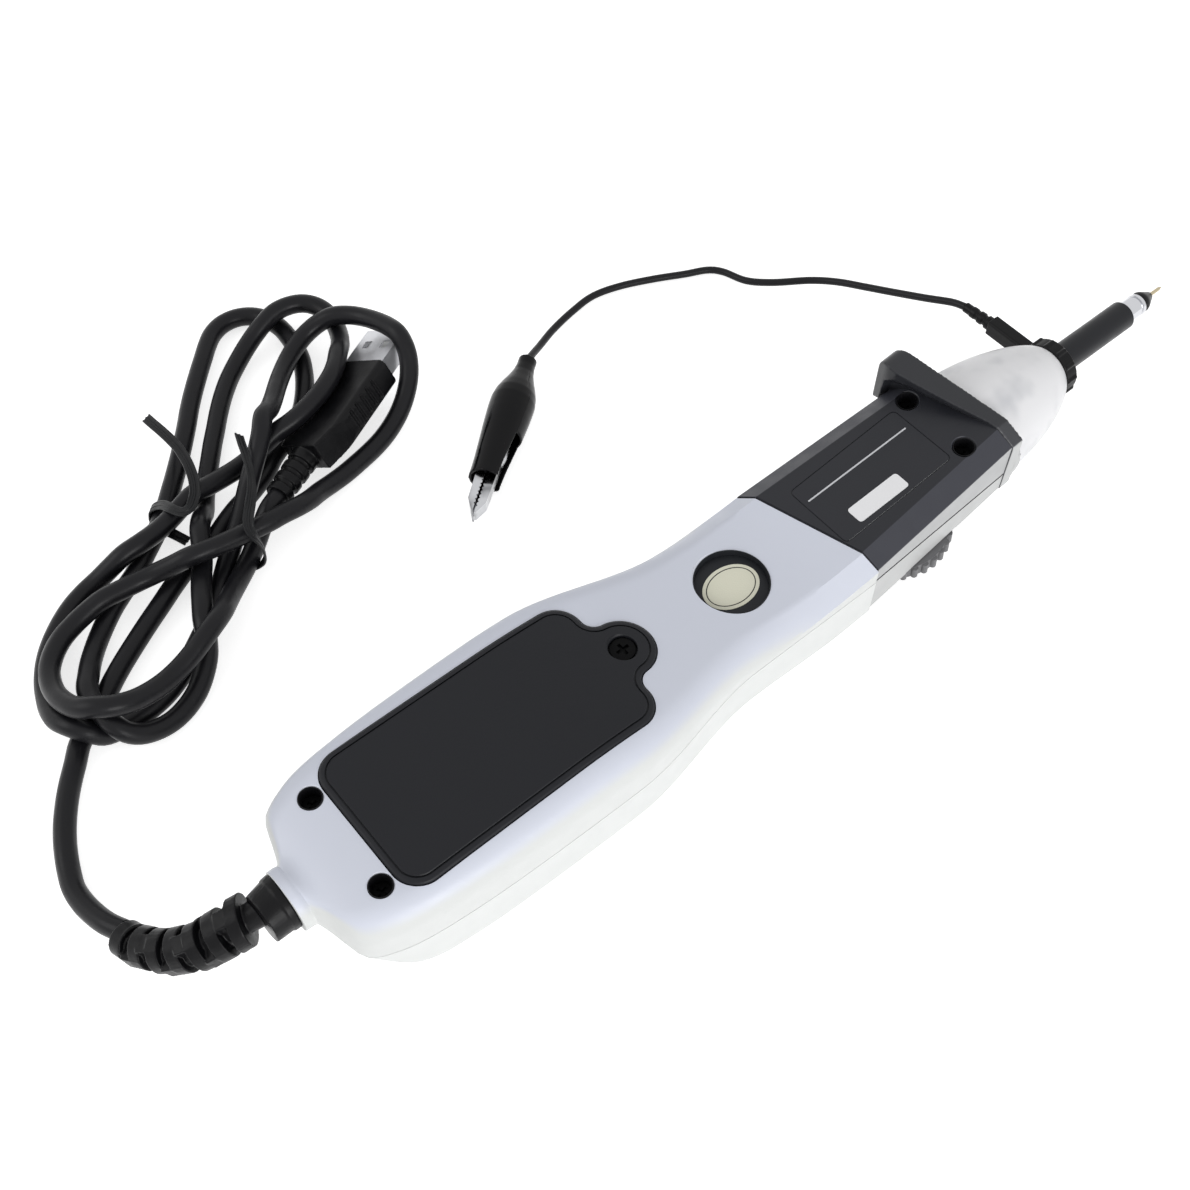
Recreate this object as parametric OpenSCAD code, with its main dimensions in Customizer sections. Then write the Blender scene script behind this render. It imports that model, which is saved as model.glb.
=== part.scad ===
// Pen-type USB oscilloscope with its probe, a folded USB lead and a ground lead with a clip.
// +X points to the probe tip, +Z to the back of the body. The flat front lies on z = 0.
// Lengths along the body are measured from its cord end; the whole is then shifted by rest_x.

/* [Handle] */
// Length of the white handle and neck, from the cord end to the dark head
handle_l = 129; // [126:1:136]
// Width of the handle at its widest
handle_w = 43; // [40:0.5:46]
// Thickness of the handle
handle_h = 28; // [27:0.5:31]
// Rounding of the handle's end in plan
end_r = 15; // [12:0.5:17]
// Width of the neck where it meets the head
neck_w = 33; // [31:0.5:35]
// Thickness of the neck at its waist
neck_h = 21.5; // [21:0.25:23]
// Rounding of the edges round the back
back_edge_r = 5.5; // [4:0.5:6.5]
// Rounding of the edges round the front
front_edge_r = 7; // [5:0.5:8]
// Outer diameter of the collar at the cord end
collar_d = 13.6; // [13.2:0.2:14.6]
// Height of the cord's outlet over the front face
outlet_z = 20.6; // [19.5:0.1:21]

/* [Head] */
// Length of the dark head on its centre line
head_l = 41.8; // [40.6:0.2:46]
// Width of the head at its front end
head_front_w = 28.6; // [27:0.2:30]
// Thickness of the head
head_h = 22; // [21.5:0.25:23]
// Angle by which the head is bent towards the back
head_tilt = 7; // [5:0.25:8]
// Slant of the head's two ends in plan
seam_slant = 15; // [8:1:18]
// Width of the long chamfers on the head's back
chamfer_w = 4.2; // [3:0.2:5]
// Height of the long chamfers on the head's back
chamfer_h = 3.1; // [2.4:0.1:4]
// Height of the joint between front and back shells, and of the probe
axis_z = 16; // [15.5:0.1:17]
// Thickness of the finger guard
guard_t = 3.2; // [2.6:0.2:4.4]
// Reach of the finger guard past the head at its wing
guard_reach = 3; // [2:0.25:5]
// Height of the finger guard's wing over the head
guard_rise = 6.4; // [4:0.2:7]

/* [Back cover] */
// Width of the back cover at the cord end
cover_w = 34; // [30:0.5:35]
// Length of the back cover without its screw lug
cover_l = 60; // [54:0.5:61]
// Distance of the cover from the cord end
cover_x = 16.5; // [15.5:0.25:20]
// Corner radius of the cover
cover_r = 5; // [3:0.25:7]
// Radius of the cover's screw lug
lug_r = 6.8; // [6:0.2:7.4]
// Depth of the pocket that the cover sits in
cover_t = 2.2; // [1.6:0.1:2.6]
// Height of the cover's field over the handle
cover_proud = 0.7; // [0.4:0.1:1]
// Width of the cover's stepped rim
rim_w = 2.2; // [1.6:0.1:3]
// Gap between the cover and its pocket
cover_gap = 0.2; // [0.1:0.05:0.3]

/* [Screws] */
// Diameter of the screw wells
well_d = 4.8; // [4.4:0.1:5.2]
// Depth from the back to the screw heads
well_depth = 3.2; // [2.4:0.1:4]
// Diameter of the screw heads
screw_head_d = 4.2; // [3.8:0.1:4.3]
// Diameter of the screw shanks
screw_d = 2.2; // [2:0.1:2.6]
// Spread of the two rear screws
rear_screws_w = 21.8; // [20:0.2:24]
// Spread of the two front screws
front_screws_w = 16.4; // [15.6:0.2:17]
// Gap all round a screw
screw_gap = 0.1; // [0.05:0.05:0.2]

/* [Probe and nose] */
// Width of the clear nose at the finger guard
nose_w = 28; // [26:0.5:29]
// Height of the clear nose at the finger guard
nose_h = 23; // [21:0.25:24]
// Length of the clear nose in front of the finger guard
nose_l = 28.2; // [25:0.2:31]
// Diameter of the clear nose at its ring
nose_tip_d = 12.6; // [11.6:0.2:14]
// Wall of the clear nose
nose_wall = 1.6; // [1.2:0.1:2]
// Diameter of the probe's black sleeve
sleeve_d = 6.8; // [6:0.1:7.4]
// Length of the probe's black sleeve in front of its ring
sleeve_l = 24; // [20:0.5:28]
// Diameter of the bright barrel
barrel_d = 5.2; // [4.6:0.1:5.6]
// Visible length of the bright barrel
barrel_l = 5.4; // [4:0.2:8]
// Length of the black tip cone
cone_l = 4.6; // [3.6:0.2:6]
// Diameter of the needle
needle_d = 0.9; // [0.7:0.1:1.2]
// Length of the bare needle
needle_l = 4; // [3:0.25:5]

/* [Thumb wheel] */
// Diameter of the thumb wheel
wheel_d = 26; // [25:0.25:27]
// Thickness of the thumb wheel
wheel_t = 3.6; // [3:0.1:4]
// Number of ribs round the wheel
wheel_ribs = 32; // [24:1:36]
// How far the wheel stands out of the head's side
wheel_out = 2.2; // [1.4:0.1:2.6]
// Gap between the wheel and its pocket
wheel_gap = 0.4; // [0.3:0.05:0.5]
// Diameter of the wheel's shaft
shaft_d = 3; // [2.6:0.1:3.6]
// Radial running fit of wheel and shaft
shaft_fit = 0.05; // [0.03:0.01:0.08]

/* [Front key] */
// Length of the front key
key_l = 13; // [11:0.5:15]
// Width of the front key
key_w = 7; // [6:0.25:9]
// Travel of the front key
key_travel = 0.6; // [0.4:0.1:0.8]
// Gap round the front key
key_gap = 0.35; // [0.3:0.05:0.5]

/* [USB lead] */
// Diameter of the USB cord
usb_d = 4.5; // [4:0.1:4.8]
// Width of the USB plug's grip
plug_w = 15.6; // [15:0.2:17]
// Length of the USB plug's grip
plug_l = 28; // [24:0.5:30]
// Thickness of the USB plug's grip
plug_t = 7.2; // [7:0.2:8]
// Width of the USB plug's metal shell
usb_shell_w = 12; // [11.9:0.05:12.1]
// Thickness of the USB plug's metal shell
usb_shell_t = 4.5; // [4.4:0.05:4.6]
// Length of the metal shell in front of the grip
usb_shell_l = 12; // [11.5:0.25:13]

/* [Ground lead] */
// Diameter of the ground lead
lead_d = 1.8; // [1.4:0.1:2.2]
// Diameter of the ground ring on the probe
ring_d = 13.2; // [12.4:0.2:14.4]
// Width of the ground ring along the probe
ring_w = 3.4; // [2.8:0.1:4]
// Largest diameter of the clip's boot
boot_d = 10.6; // [10:0.2:12]
// Length of the clip's boot
boot_l = 37; // [35:0.5:39]
// Length of the bare jaws in front of the boot
jaw_l = 10; // [8:0.5:12]
// Height of the clip's jaws
jaw_h = 4.6; // [4:0.1:5]
// Thickness of the clip's sheet metal
jaw_t = 0.7; // [0.6:0.05:0.9]
// Diameter of the clip's pin
pin_d = 1.5; // [1.2:0.1:1.8]
// Radial running fit of jaw and pin
pin_fit = 0.04; // [0.03:0.01:0.08]

/* [Hidden] */

$fn = 48;
eps = 0.02;
big = 400;
rest_x = 60;          // the origin lies on the front face, this far from the cord end
collar_l = 3.5;
wide_end = handle_l - 63;   // the handle narrows from here
neck_x = handle_l - 29;     // to here
drop_x = handle_l - 74;     // the back starts to fall here
waist_x = handle_l - 11;    // and is lowest here
bend_l = 8;           // length of the bend into the head
foot_r = 5;           // chamfer along the head's front
slope = tan(head_tilt);
rear_screw_x = 14.8;
front_screw_x = handle_l + head_l - 2.4;
recess_x = handle_l - 21.2;
recess_r = 7.8;
recess_depth = 1.8;

// Frame of the bent head: its origin is the seam on the centre line, on the head's front face.
head_z0 = neck_h + slope * (handle_l - waist_x - bend_l / 2) - head_h;

module place() { translate([-rest_x, 0, 0]) children(); }
module in_head() { translate([handle_l, 0, head_z0]) rotate([0, -head_tilt, 0]) children(); }
module along_x() { rotate([0, 90, 0]) children(); }

// 0 to 1 with soft ends
function ease(t) = let(u = min(1, max(0, t))) u * u * (3 - 2 * u);
function mix(a, b, t) = a + (b - a) * t;
// A line that starts to climb at x1, softly over bend_l
function climb(x, x1) = let(d = x - x1)
    d <= 0 ? 0 : d < bend_l ? slope * d * d / (2 * bend_l) : slope * (d - bend_l / 2);

// Rear rounding: 0 at the collar, 1 where the full section is reached
function end_t(x) = let(u = min(1, max(0, (x - collar_l) / end_r))) sqrt(1 - (1 - u) * (1 - u));
function side_y(x) = mix(handle_w, neck_w, ease((x - wide_end) / (neck_x - wide_end))) / 2
    - end_r * (1 - end_t(x));
function back_z(x) = mix(handle_h, neck_h, ease((x - drop_x) / (waist_x - drop_x)))
    + climb(x, waist_x);
function front_z(x) = -0.5 + climb(x, waist_x + 2);

// One closed section: four corners in n steps, each rounded (round = 1) or chamfered (round = 0).
function corner(w, h, round, n) = [for (k = [0:n]) let(a = 90 * k / n, t = k / n)
    [mix(w * t, w * sin(a), round), mix(-h * t, -h * (1 - cos(a)), round)]];
function section(x, y, zt, zb, tw, th, bw, bh, round, n) = let(
    top = [for (p = corner(tw, th, round, n)) [y - tw + p[0], zt + p[1]]],
    low = [for (p = corner(bw, bh, round, n)) [y - bw + p[0], zb - p[1]]],
    right = concat(top, [for (i = [n:-1:0]) low[i]]))
    concat([for (p = right) [x, p[0], p[1]]],
        [for (i = [2 * n + 1:-1:0]) [x, -right[i][0], right[i][1]]]);

function handle_section(x) = let(
    t = end_t(x), c = ease((x - neck_x + 12) / 37),
    drop = 5 * (1 - t), rise = 7 * (1 - t), y = side_y(x), most = y - 1)
    section(x, y, back_z(x) - drop, front_z(x) + rise,
        min(most, mix(back_edge_r, chamfer_w, c)), mix(back_edge_r, chamfer_h, c),
        min(most, mix(front_edge_r, foot_r, c)), mix(front_edge_r, foot_r, c), 1 - c, 4);

function head_section(x) = let(w = mix(neck_w, head_front_w, x / head_l) / 2)
    section(x, w, head_h, 0, chamfer_w, chamfer_h, foot_r, foot_r, 0, 1);

// Skin a row of sections that all have the same number of points
function middle(r) = [for (k = [0:2]) let(v = [for (p = r) p[k]]) (min(v) + max(v)) / 2];
module loft(rows) {
    n = len(rows[0]);
    m = len(rows);
    polyhedron(points = concat([for (r = rows) for (p = r) p], [middle(rows[0]), middle(rows[m - 1])]),
        faces = concat(
            [for (i = [0:n - 1]) [(i + 1) % n, i, m * n]],
            [for (i = [0:n - 1]) [(m - 1) * n + i, (m - 1) * n + (i + 1) % n, m * n + 1]],
            [for (j = [0:m - 2], i = [0:n - 1], k = [0, 1]) let(
                a = j * n + i, b = j * n + (i + 1) % n)
                k == 0 ? [a, b, a + n] : [b, b + n, a + n]]));
}

handle_rows = concat([for (a = [0, 25, 45, 62, 78]) collar_l + end_r * (1 - cos(a))],
    [22, 40], [for (d = [74, 63, 56, 50, 45, 40, 34, 27, 19, 11, 7, 2, -3, -12]) handle_l - d]);

module handle_form() { loft([for (x = handle_rows) handle_section(x)]); }
module head_form() { loft([head_section(-14), head_section(head_l + 12)]); }

// Everything behind the slanted plane that crosses the centre line at x
module behind(x) { translate([x, 0, 0]) rotate([0, 0, seam_slant]) translate([-big, -big / 2, -big / 2]) cube(big); }
module ahead(x) { translate([x, 0, 0]) rotate([0, 0, seam_slant]) translate([0, -big / 2, -big / 2]) cube(big); }
module over(z) { translate([-big / 2, -big / 2, z]) cube(big); }
module under(z) { translate([-big / 2, -big / 2, z - big]) cube(big); }

// Room for the boards, shared by both shells
bay_w = 24;
bay_floor = 7.4;
bay_top = handle_h - 7.5;
neck_bay_top = neck_h - 3;
board_t = 1.6;
bay_x = 24;
bay_l = 46;
board_z = 12;
board_w = bay_w - 1;
cover_depth = 12;
board_x = bay_x + 4;
board_l = handle_l - board_x - 12;
can_x = board_x + 6;
can_l = 30;
can_w = 18;
can_h = 3.4;
head_board_l = 24.5;
head_board_w = 20;
encoder_w = 11;
module bay() {
    translate([bay_x, -bay_w / 2, bay_floor]) cube([bay_l, bay_w, bay_top - bay_floor]);
    translate([bay_x, -bay_w / 2, bay_floor]) cube([handle_l - 10 - bay_x, bay_w, neck_bay_top - bay_floor]);
}
module rest_ledges(z) {
    for (s = [-1, 1]) translate([board_x, s > 0 ? bay_w / 2 - 2 : -bay_w / 2, bay_floor - 1])
        cube([board_l, 2, z - bay_floor + 1]);
}
module screw_places(gap) {
    for (s = [-1, 1]) {
        translate([rear_screw_x, s * rear_screws_w / 2, 0])
            screw_form(back_z(rear_screw_x), axis_z, gap);
        in_head() translate([front_screw_x - handle_l, s * front_screws_w / 2, 0])
            screw_form(head_h, head_joint_z, gap);
    }
}
screw_bite = 2.6;     // length of thread under the joint of the shells
// Height of the joint in the head's frame at the front screws
head_joint_z = (axis_z - head_z0 - (front_screw_x - handle_l) * sin(head_tilt)) / cos(head_tilt);
module screw_form(top, joint, gap) {
    head_d = gap > 0 ? well_d : screw_head_d;
    foot = joint - screw_bite;
    translate([0, 0, top - well_depth - 1.6]) cylinder(d = head_d, h = gap > 0 ? well_depth + 9 : 1.6);
    translate([0, 0, foot]) cylinder(d = screw_d + 2 * gap, h = top - well_depth - 1.5 - foot);
}
module screw_slot(top) {
    translate([0, 0, top - well_depth]) for (a = [0, 90]) rotate([0, 0, a + 20])
        cube([2.4, 0.6, 1.2], center = true);
}

module collar() {
    translate([0, 0, outlet_z]) along_x() cylinder(d = collar_d, h = collar_l + 6);
}
module collar_bore() {
    translate([-1, 0, outlet_z]) along_x() cylinder(d = collar_d - 4.4, h = 11);
}

module handle_skin() {
    union() {
        intersection() {
            handle_form();
            behind(handle_l);
            over(0);
        }
        collar();
    }
}

lug_x = cover_x + cover_l + 2.5;
// Outline of the back cover, drawn smaller by d
module cover_outline(d) {
    front_w = cover_w - 2.6;
    union() {
        hull() for (s = [-1, 1]) {
            translate([cover_x + cover_r, s * (cover_w / 2 - cover_r)]) circle(r = cover_r - d, $fn = 32);
            translate([cover_x + cover_l - cover_r, s * (front_w / 2 - cover_r)])
                circle(r = cover_r - d, $fn = 32);
        }
        translate([lug_x, 0]) circle(r = lug_r - d);
        difference() {
            translate([cover_x + cover_l - 2, -lug_r - 3]) square([6.6 - d, 2 * lug_r + 6]);
            for (s = [-1, 1]) translate([cover_x + cover_l + 3.2, s * (lug_r + 3)]) circle(r = 3.2 + d);
        }
    }
}
// The slab between two heights over or under the back, as a side profile
module back_slab(low, high) {
    xs = [for (x = [8:7:99]) x];
    rotate([90, 0, 0]) translate([0, 0, -handle_w / 2]) linear_extrude(handle_w)
        polygon(concat([for (x = xs) [x, back_z(x) + high]],
            [for (i = [len(xs) - 1:-1:0]) [xs[i], back_z(xs[i]) + low]]));
}
module cover_pocket() {
    intersection() {
        translate([0, 0, handle_h - cover_depth]) linear_extrude(handle_h) cover_outline(-cover_gap);
        back_slab(-cover_t, 9);
    }
    translate([lug_x, 0, neck_bay_top - 1])
        cylinder(d = screw_d + 2 * screw_gap, h = back_z(lug_x) - neck_bay_top + 1);
}

module rear_shell() {
    place() color([0.80, 0.82, 0.86]) difference() {
        intersection() { handle_skin(); over(axis_z); }
        bay();
        collar_bore();
        screw_places(screw_gap);
        cover_pocket();
        translate([recess_x, 0, back_z(recess_x) - recess_depth - 1]) cylinder(r = recess_r, h = 20);
    }
}

module front_shell() {
    place() color([0.95, 0.95, 0.96]) difference() {
        union() {
            difference() {
                intersection() { handle_skin(); under(axis_z); }
                bay();
            }
            rest_ledges(board_z);
        }
        collar_bore();
        screw_places(screw_gap);
        key_hole();
    }
}

// The head: a tapering prism with long chamfers, bent up from the neck
module head_skin() {
    intersection() {
        in_head() head_form();
        ahead(handle_l);
        behind(handle_l + head_l);
    }
}
head_bay_z = 7;
module head_bay() {
    in_head() translate([6, -10.5, head_bay_z]) cube([25.5, 21, head_h - head_bay_z - 4]);
}
nose_x = handle_l + head_l;      // the head's front plane on the centre line
stem_d = 4;
stem_flange_d = 8.6;
root_w = 21;                     // the nose's root fills the guard's opening
root_h = 18;
root_fit = 0.15;
module nose_root_form(d, x0, x1) {
    loft([for (x = [x0, x1]) oval(x, root_w / 2 + d, root_h / 2 + d, axis_z)]);
}
module nose_room() {
    translate([nose_x - 13, 0, axis_z]) along_x() cylinder(d = stem_flange_d + 0.2, h = 6.1);
    translate([nose_x - 8, 0, axis_z]) along_x() cylinder(d = sleeve_d + 0.2, h = 20);
}
label_l = 30;
label_w = 16.6;
label_t = 0.4;
module label_room(gap) {
    in_head() translate([5.4 - gap, -label_w / 2 - gap, head_h - label_t])
        cube([label_l + 2 * gap, label_w + 2 * gap, label_t + (gap > 0 ? 3 : 0)]);
}
module head_rear_shell() {
    place() color([0.20, 0.21, 0.23]) difference() {
        intersection() { head_skin(); over(axis_z); }
        head_bay();
        nose_room();
        label_room(0.15);
        screw_places(screw_gap);
    }
}
module head_front_shell() {
    place() color([0.22, 0.23, 0.25]) difference() {
        intersection() { head_skin(); under(axis_z); }
        head_bay();
        nose_room();
        wheel_room();
        screw_places(screw_gap);
    }
}
module label_plate() { place() color([0.13, 0.13, 0.15]) label_room(0); }
module shell_screws() {
    place() color([0.10, 0.10, 0.11]) difference() {
        screw_places(0);
        for (s = [-1, 1]) {
            translate([rear_screw_x, s * rear_screws_w / 2, 0]) screw_slot(back_z(rear_screw_x));
            in_head() translate([front_screw_x - handle_l, s * front_screws_w / 2, 0])
                screw_slot(head_h);
        }
    }
}

// Finger guard: a slanted plate round the nose with a wing on the left
guard_w = head_front_w / 2;
module guard_outline() {
    wing = guard_w + guard_reach;
    top = head_h + guard_rise;
    union() {
        hull() {
            translate([wing - 3, top - 3]) circle(r = 3, $fn = 32);
            translate([wing - 3, head_h - 5.5]) circle(r = 3, $fn = 32);
            translate([-guard_w + chamfer_w + 1, head_h - 0.6]) circle(r = 1.2, $fn = 32);
            translate([-guard_w + 0.8, head_h - chamfer_h - 0.6]) circle(r = 0.8, $fn = 32);
            translate([0, head_h - 10]) circle(r = 1, $fn = 32);
        }
        polygon([[-guard_w, head_h - chamfer_h - 1], [-guard_w, foot_r], [-guard_w + foot_r, 0],
            [guard_w - foot_r, 0], [guard_w, foot_r], [guard_w, head_h - 4]]);
    }
}
guard_lip = 2.8;      // the wing's top reaches this far back over the head
guard_step = 1.4;     // the collar between guard and nose
module guard_slab(x0, x1) { intersection() { ahead(x0); behind(x1); } }
// A point at height z in the head's frame, p in front of the head's slanted front plane
function guard_point(p, y, z) = let(x = nose_x - tan(seam_slant) * y + p,
    u = (x - handle_l + z * sin(head_tilt)) / cos(head_tilt))
    [x, y, head_z0 + u * sin(head_tilt) + z * cos(head_tilt)];
// One row of the scooped lip: reach to the back, height of its edge and of the scoop's foot
function lip_row(y, reach, edge, foot) = [for (q = [[-reach, head_h + 12], [-reach, edge],
    [0, foot], [1, foot], [1, head_h + 12]]) guard_point(q[0], y, q[1])];
module guard_lip_form() {
    side = head_front_w / 2;
    loft([lip_row(-side / 2, 0.1, head_h + 0.5, head_h + 0.1),
        lip_row(0, 0.45 * guard_lip, head_h + 0.25 * guard_rise, head_h + 0.1),
        lip_row(0.42 * side, 0.75 * guard_lip, head_h + 0.43 * guard_rise, head_h + 0.1),
        lip_row(0.84 * side, guard_lip, head_h + 0.56 * guard_rise, head_h + 0.1),
        lip_row(side, 0.9 * guard_lip, head_h + 0.35 * guard_rise, head_h + 0.1),
        lip_row(side + 0.7, 0.8 * guard_lip, head_h - 4.6, head_h - 6),
        lip_row(side + guard_reach, 0.35 * guard_lip, head_h - 6, head_h - 7),
        lip_row(side + guard_reach + 2, 0.2 * guard_lip, head_h - 6, head_h - 7)]);
}
module finger_guard() {
    place() color([0.17, 0.17, 0.19]) difference() {
        union() {
            intersection() {
                union() {
                    guard_slab(nose_x, nose_x + guard_t);
                    guard_lip_form();
                }
                in_head() translate([head_l - 16, 0, 0]) rotate([90, 0, 90]) linear_extrude(34)
                    guard_outline();
            }
            intersection() {
                nose_dome(-0.7);
                guard_slab(nose_x + guard_t - 0.5, nose_x + guard_t + guard_step);
            }
        }
        nose_root_form(root_fit, nose_x - 20, nose_x + 20);
    }
}

// Clear nose: a dome that runs from an oval base to a round tip, with a root in the head
function oval(x, a, b, z) = [for (k = [0:31]) let(t = -360 * k / 32)
    [x, a * cos(t), z + b * sin(t)]];
nose_base = nose_x + guard_t + guard_step;
nose_front = nose_base + nose_l;
lead_in = 6;          // the dome starts behind the slanted guard and is trimmed by it
function nose_oval(t, d) = let(
    f = pow(max(0, cos(90 * pow(t, 1.35))), 0.72),
    a = mix(nose_tip_d / 2, nose_w / 2, f), b = mix(nose_tip_d / 2, nose_h / 2, f))
    oval(nose_base - lead_in + (nose_l + lead_in - max(0, d)) * t,
        a - d, b - d, axis_z + (1 - t) * 0.8);
// Grown by -d
module nose_dome(d) { loft([for (i = [0:12]) nose_oval(i / 12, d)]); }
module nose_lens() {
    place() color([0.90, 0.91, 0.92]) difference() {
        union() {
            intersection() { nose_dome(0); ahead(nose_base); }
            intersection() { nose_root_form(0, nose_x - 6, nose_base + 4); ahead(nose_x + 0.05); }
        }
        intersection() { nose_dome(nose_wall); ahead(nose_base + nose_wall); }
        nose_root_form(-nose_wall, nose_x - 8, nose_base + 4.5);
        at_axis(nose_x) cylinder(d = sleeve_d + 0.2, h = nose_l + 40);
    }
}
module lamp_board() {
    place() color([0.15, 0.40, 0.22]) translate([nose_x + 2.5, 0, axis_z]) {
        difference() {
            along_x() cylinder(d = root_h - 2 * nose_wall - 0.2, h = 1.6);
            translate([-1, 0, 0]) along_x() cylinder(d = sleeve_d + 0.4, h = 4);
        }
        for (a = [30:60:330]) rotate([a, 0, 0]) translate([1.6, 5.5, 0]) along_x() {
            cylinder(d = 2.6, h = 2.4);
            translate([0, 0, 2.4]) sphere(d = 2.6);
        }
    }
}

// Probe: a metal stem in the head, black sleeve, bright barrel, cone and needle
sleeve_x = nose_front + ring_w;
barrel_x = sleeve_x + sleeve_l;
cone_x = barrel_x + barrel_l;
tip_x = cone_x + cone_l;
module at_axis(x) { translate([x, 0, axis_z]) along_x() children(); }
module probe_stem() {
    place() color([0.75, 0.62, 0.30]) union() {
        at_axis(nose_x - 9) cylinder(d = stem_d, h = barrel_x - nose_x + 9);
        at_axis(nose_x - 9) cylinder(d = stem_flange_d, h = 2);
    }
}
module probe_sleeve() {
    place() color([0.07, 0.07, 0.08]) difference() {
        union() {
            at_axis(nose_x - 7) cylinder(d = sleeve_d, h = barrel_x - nose_x + 7);
            at_axis(sleeve_x + 0.2) cylinder(d = sleeve_d + 1.2, h = 1);
        }
        at_axis(nose_x - 8) cylinder(d = stem_d, h = barrel_x - nose_x + 20);
    }
}
module probe_barrel() {
    place() color([0.80, 0.80, 0.82]) difference() {
        at_axis(barrel_x) cylinder(d = barrel_d, h = barrel_l);
        at_axis(barrel_x + barrel_l - 1.6) difference() {
            cylinder(d = barrel_d + 1, h = 0.6);
            translate([0, 0, -1]) cylinder(d = barrel_d - 0.5, h = 3);
        }
    }
}
module probe_cone() {
    place() color([0.06, 0.06, 0.07]) at_axis(cone_x) rotate_extrude() difference() {
        polygon([[0, 0], [barrel_d / 2 - 0.2, 0], [barrel_d / 2 - 0.1, 1], [barrel_d / 2 - 0.5, 2],
            [needle_d / 2 + 0.5, cone_l - 0.4], [needle_d / 2 + 0.1, cone_l], [0, cone_l]]);
    }
}
module probe_needle() {
    place() color([0.80, 0.66, 0.28]) union() {
        at_axis(tip_x) cylinder(d = needle_d, h = needle_l - 1);
        at_axis(tip_x + needle_l - 1) cylinder(d1 = needle_d, d2 = 0.25, h = 1);
    }
}

// Boards in the housing
module main_board() {
    place() color([0.10, 0.35, 0.20]) translate([board_x, -board_w / 2, board_z])
        cube([board_l, board_w, board_t]);
}
module shield_can() {
    place() color([0.72, 0.73, 0.75]) translate([can_x, -can_w / 2, board_z + board_t]) difference() {
        cube([can_l, can_w, can_h]);
        for (i = [1:5], s = [1, 3]) translate([i * can_l / 6, s * can_w / 4, can_h - 1.4])
            cylinder(d = 1.6, h = 3);
    }
}
wheel_x = 24;         // wheel centre along the head
wheel_y = -(mix(neck_w, head_front_w, wheel_x / head_l) / 2 + wheel_out) + wheel_d / 2;
wheel_z = 1.5;        // underside of the wheel over the head's front face
shaft_top = wheel_z + wheel_t + wheel_gap;
head_board_rise = 3.6;
head_board_x = 6.5;
head_board_z = shaft_top + head_board_rise;
module head_board() {
    place() color([0.10, 0.35, 0.20]) in_head()
        translate([head_board_x, -head_board_w / 2, head_board_z]) cube([head_board_l, head_board_w, board_t]);
}
module wheel_encoder() {
    place() color([0.16, 0.16, 0.18]) in_head() translate([wheel_x, wheel_y, 0]) union() {
        translate([-encoder_w / 2, -encoder_w / 2, shaft_top])
            cube([encoder_w, encoder_w, head_board_z - shaft_top]);
        translate([0, 0, wheel_z + 0.2]) cylinder(d = shaft_d, h = shaft_top);
    }
}
module scroll_wheel() {
    rib_r = PI * wheel_d / wheel_ribs * 0.30;
    place() color([0.12, 0.12, 0.13]) in_head() translate([wheel_x, wheel_y, wheel_z]) difference() {
        union() {
            cylinder(d = wheel_d - 2 * rib_r, h = wheel_t);
            for (i = [0:wheel_ribs - 1]) rotate([0, 0, i * 360 / wheel_ribs])
                translate([wheel_d / 2 - rib_r, 0, 0.25]) cylinder(r = rib_r, h = wheel_t - 0.5, $fn = 16);
        }
        translate([0, 0, -1]) cylinder(d = shaft_d + 2 * shaft_fit, h = wheel_t + 2);
        for (z = [-1, wheel_t - 0.6]) translate([0, 0, z]) difference() {
            cylinder(d = wheel_d - 6, h = 1.6);
            translate([0, 0, -1]) cylinder(d = shaft_d + 5, h = 4);
        }
    }
}
module wheel_room() {
    in_head() translate([wheel_x, wheel_y, wheel_z - wheel_gap])
        cylinder(d = wheel_d + 2 * wheel_gap, h = wheel_t + 2 * wheel_gap);
    in_head() translate([wheel_x - 6, wheel_y - 6, wheel_z]) cube([12, 12, head_bay_z - wheel_z + 1]);
}

// Front key with the switch behind it
key_x = handle_l - 17;
key_sink = 0.7;
key_flange_z = 4.6;
module key_plan(d) {
    hull() for (s = [-1, 1]) translate([key_x + s * (key_l - key_w) / 2, 0]) circle(d = key_w + 2 * d);
}
module key_hole() {
    translate([0, 0, -2]) linear_extrude(bay_floor + 4) key_plan(key_gap);
    translate([0, 0, -1]) linear_extrude(1.4) key_plan(1.6);
    translate([0, 0, key_flange_z - key_gap])
        linear_extrude(bay_floor + 1) key_plan(1 + key_gap);
}
module front_key() {
    place() color([0.30, 0.31, 0.33]) union() {
        translate([0, 0, key_sink]) linear_extrude(key_flange_z - key_sink + 1) key_plan(0);
        translate([0, 0, key_flange_z]) linear_extrude(1) key_plan(1);
    }
}
key_top = key_flange_z + 1;
module key_switch() {
    place() color([0.20, 0.20, 0.22]) union() {
        translate([key_x - 3, -3, key_top + key_travel + 1.5])
            cube([6, 6, board_z - key_top - key_travel - 1.5]);
        translate([key_x, 0, key_top + key_travel + 0.1]) cylinder(d = 3, h = 2);
    }
}

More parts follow.
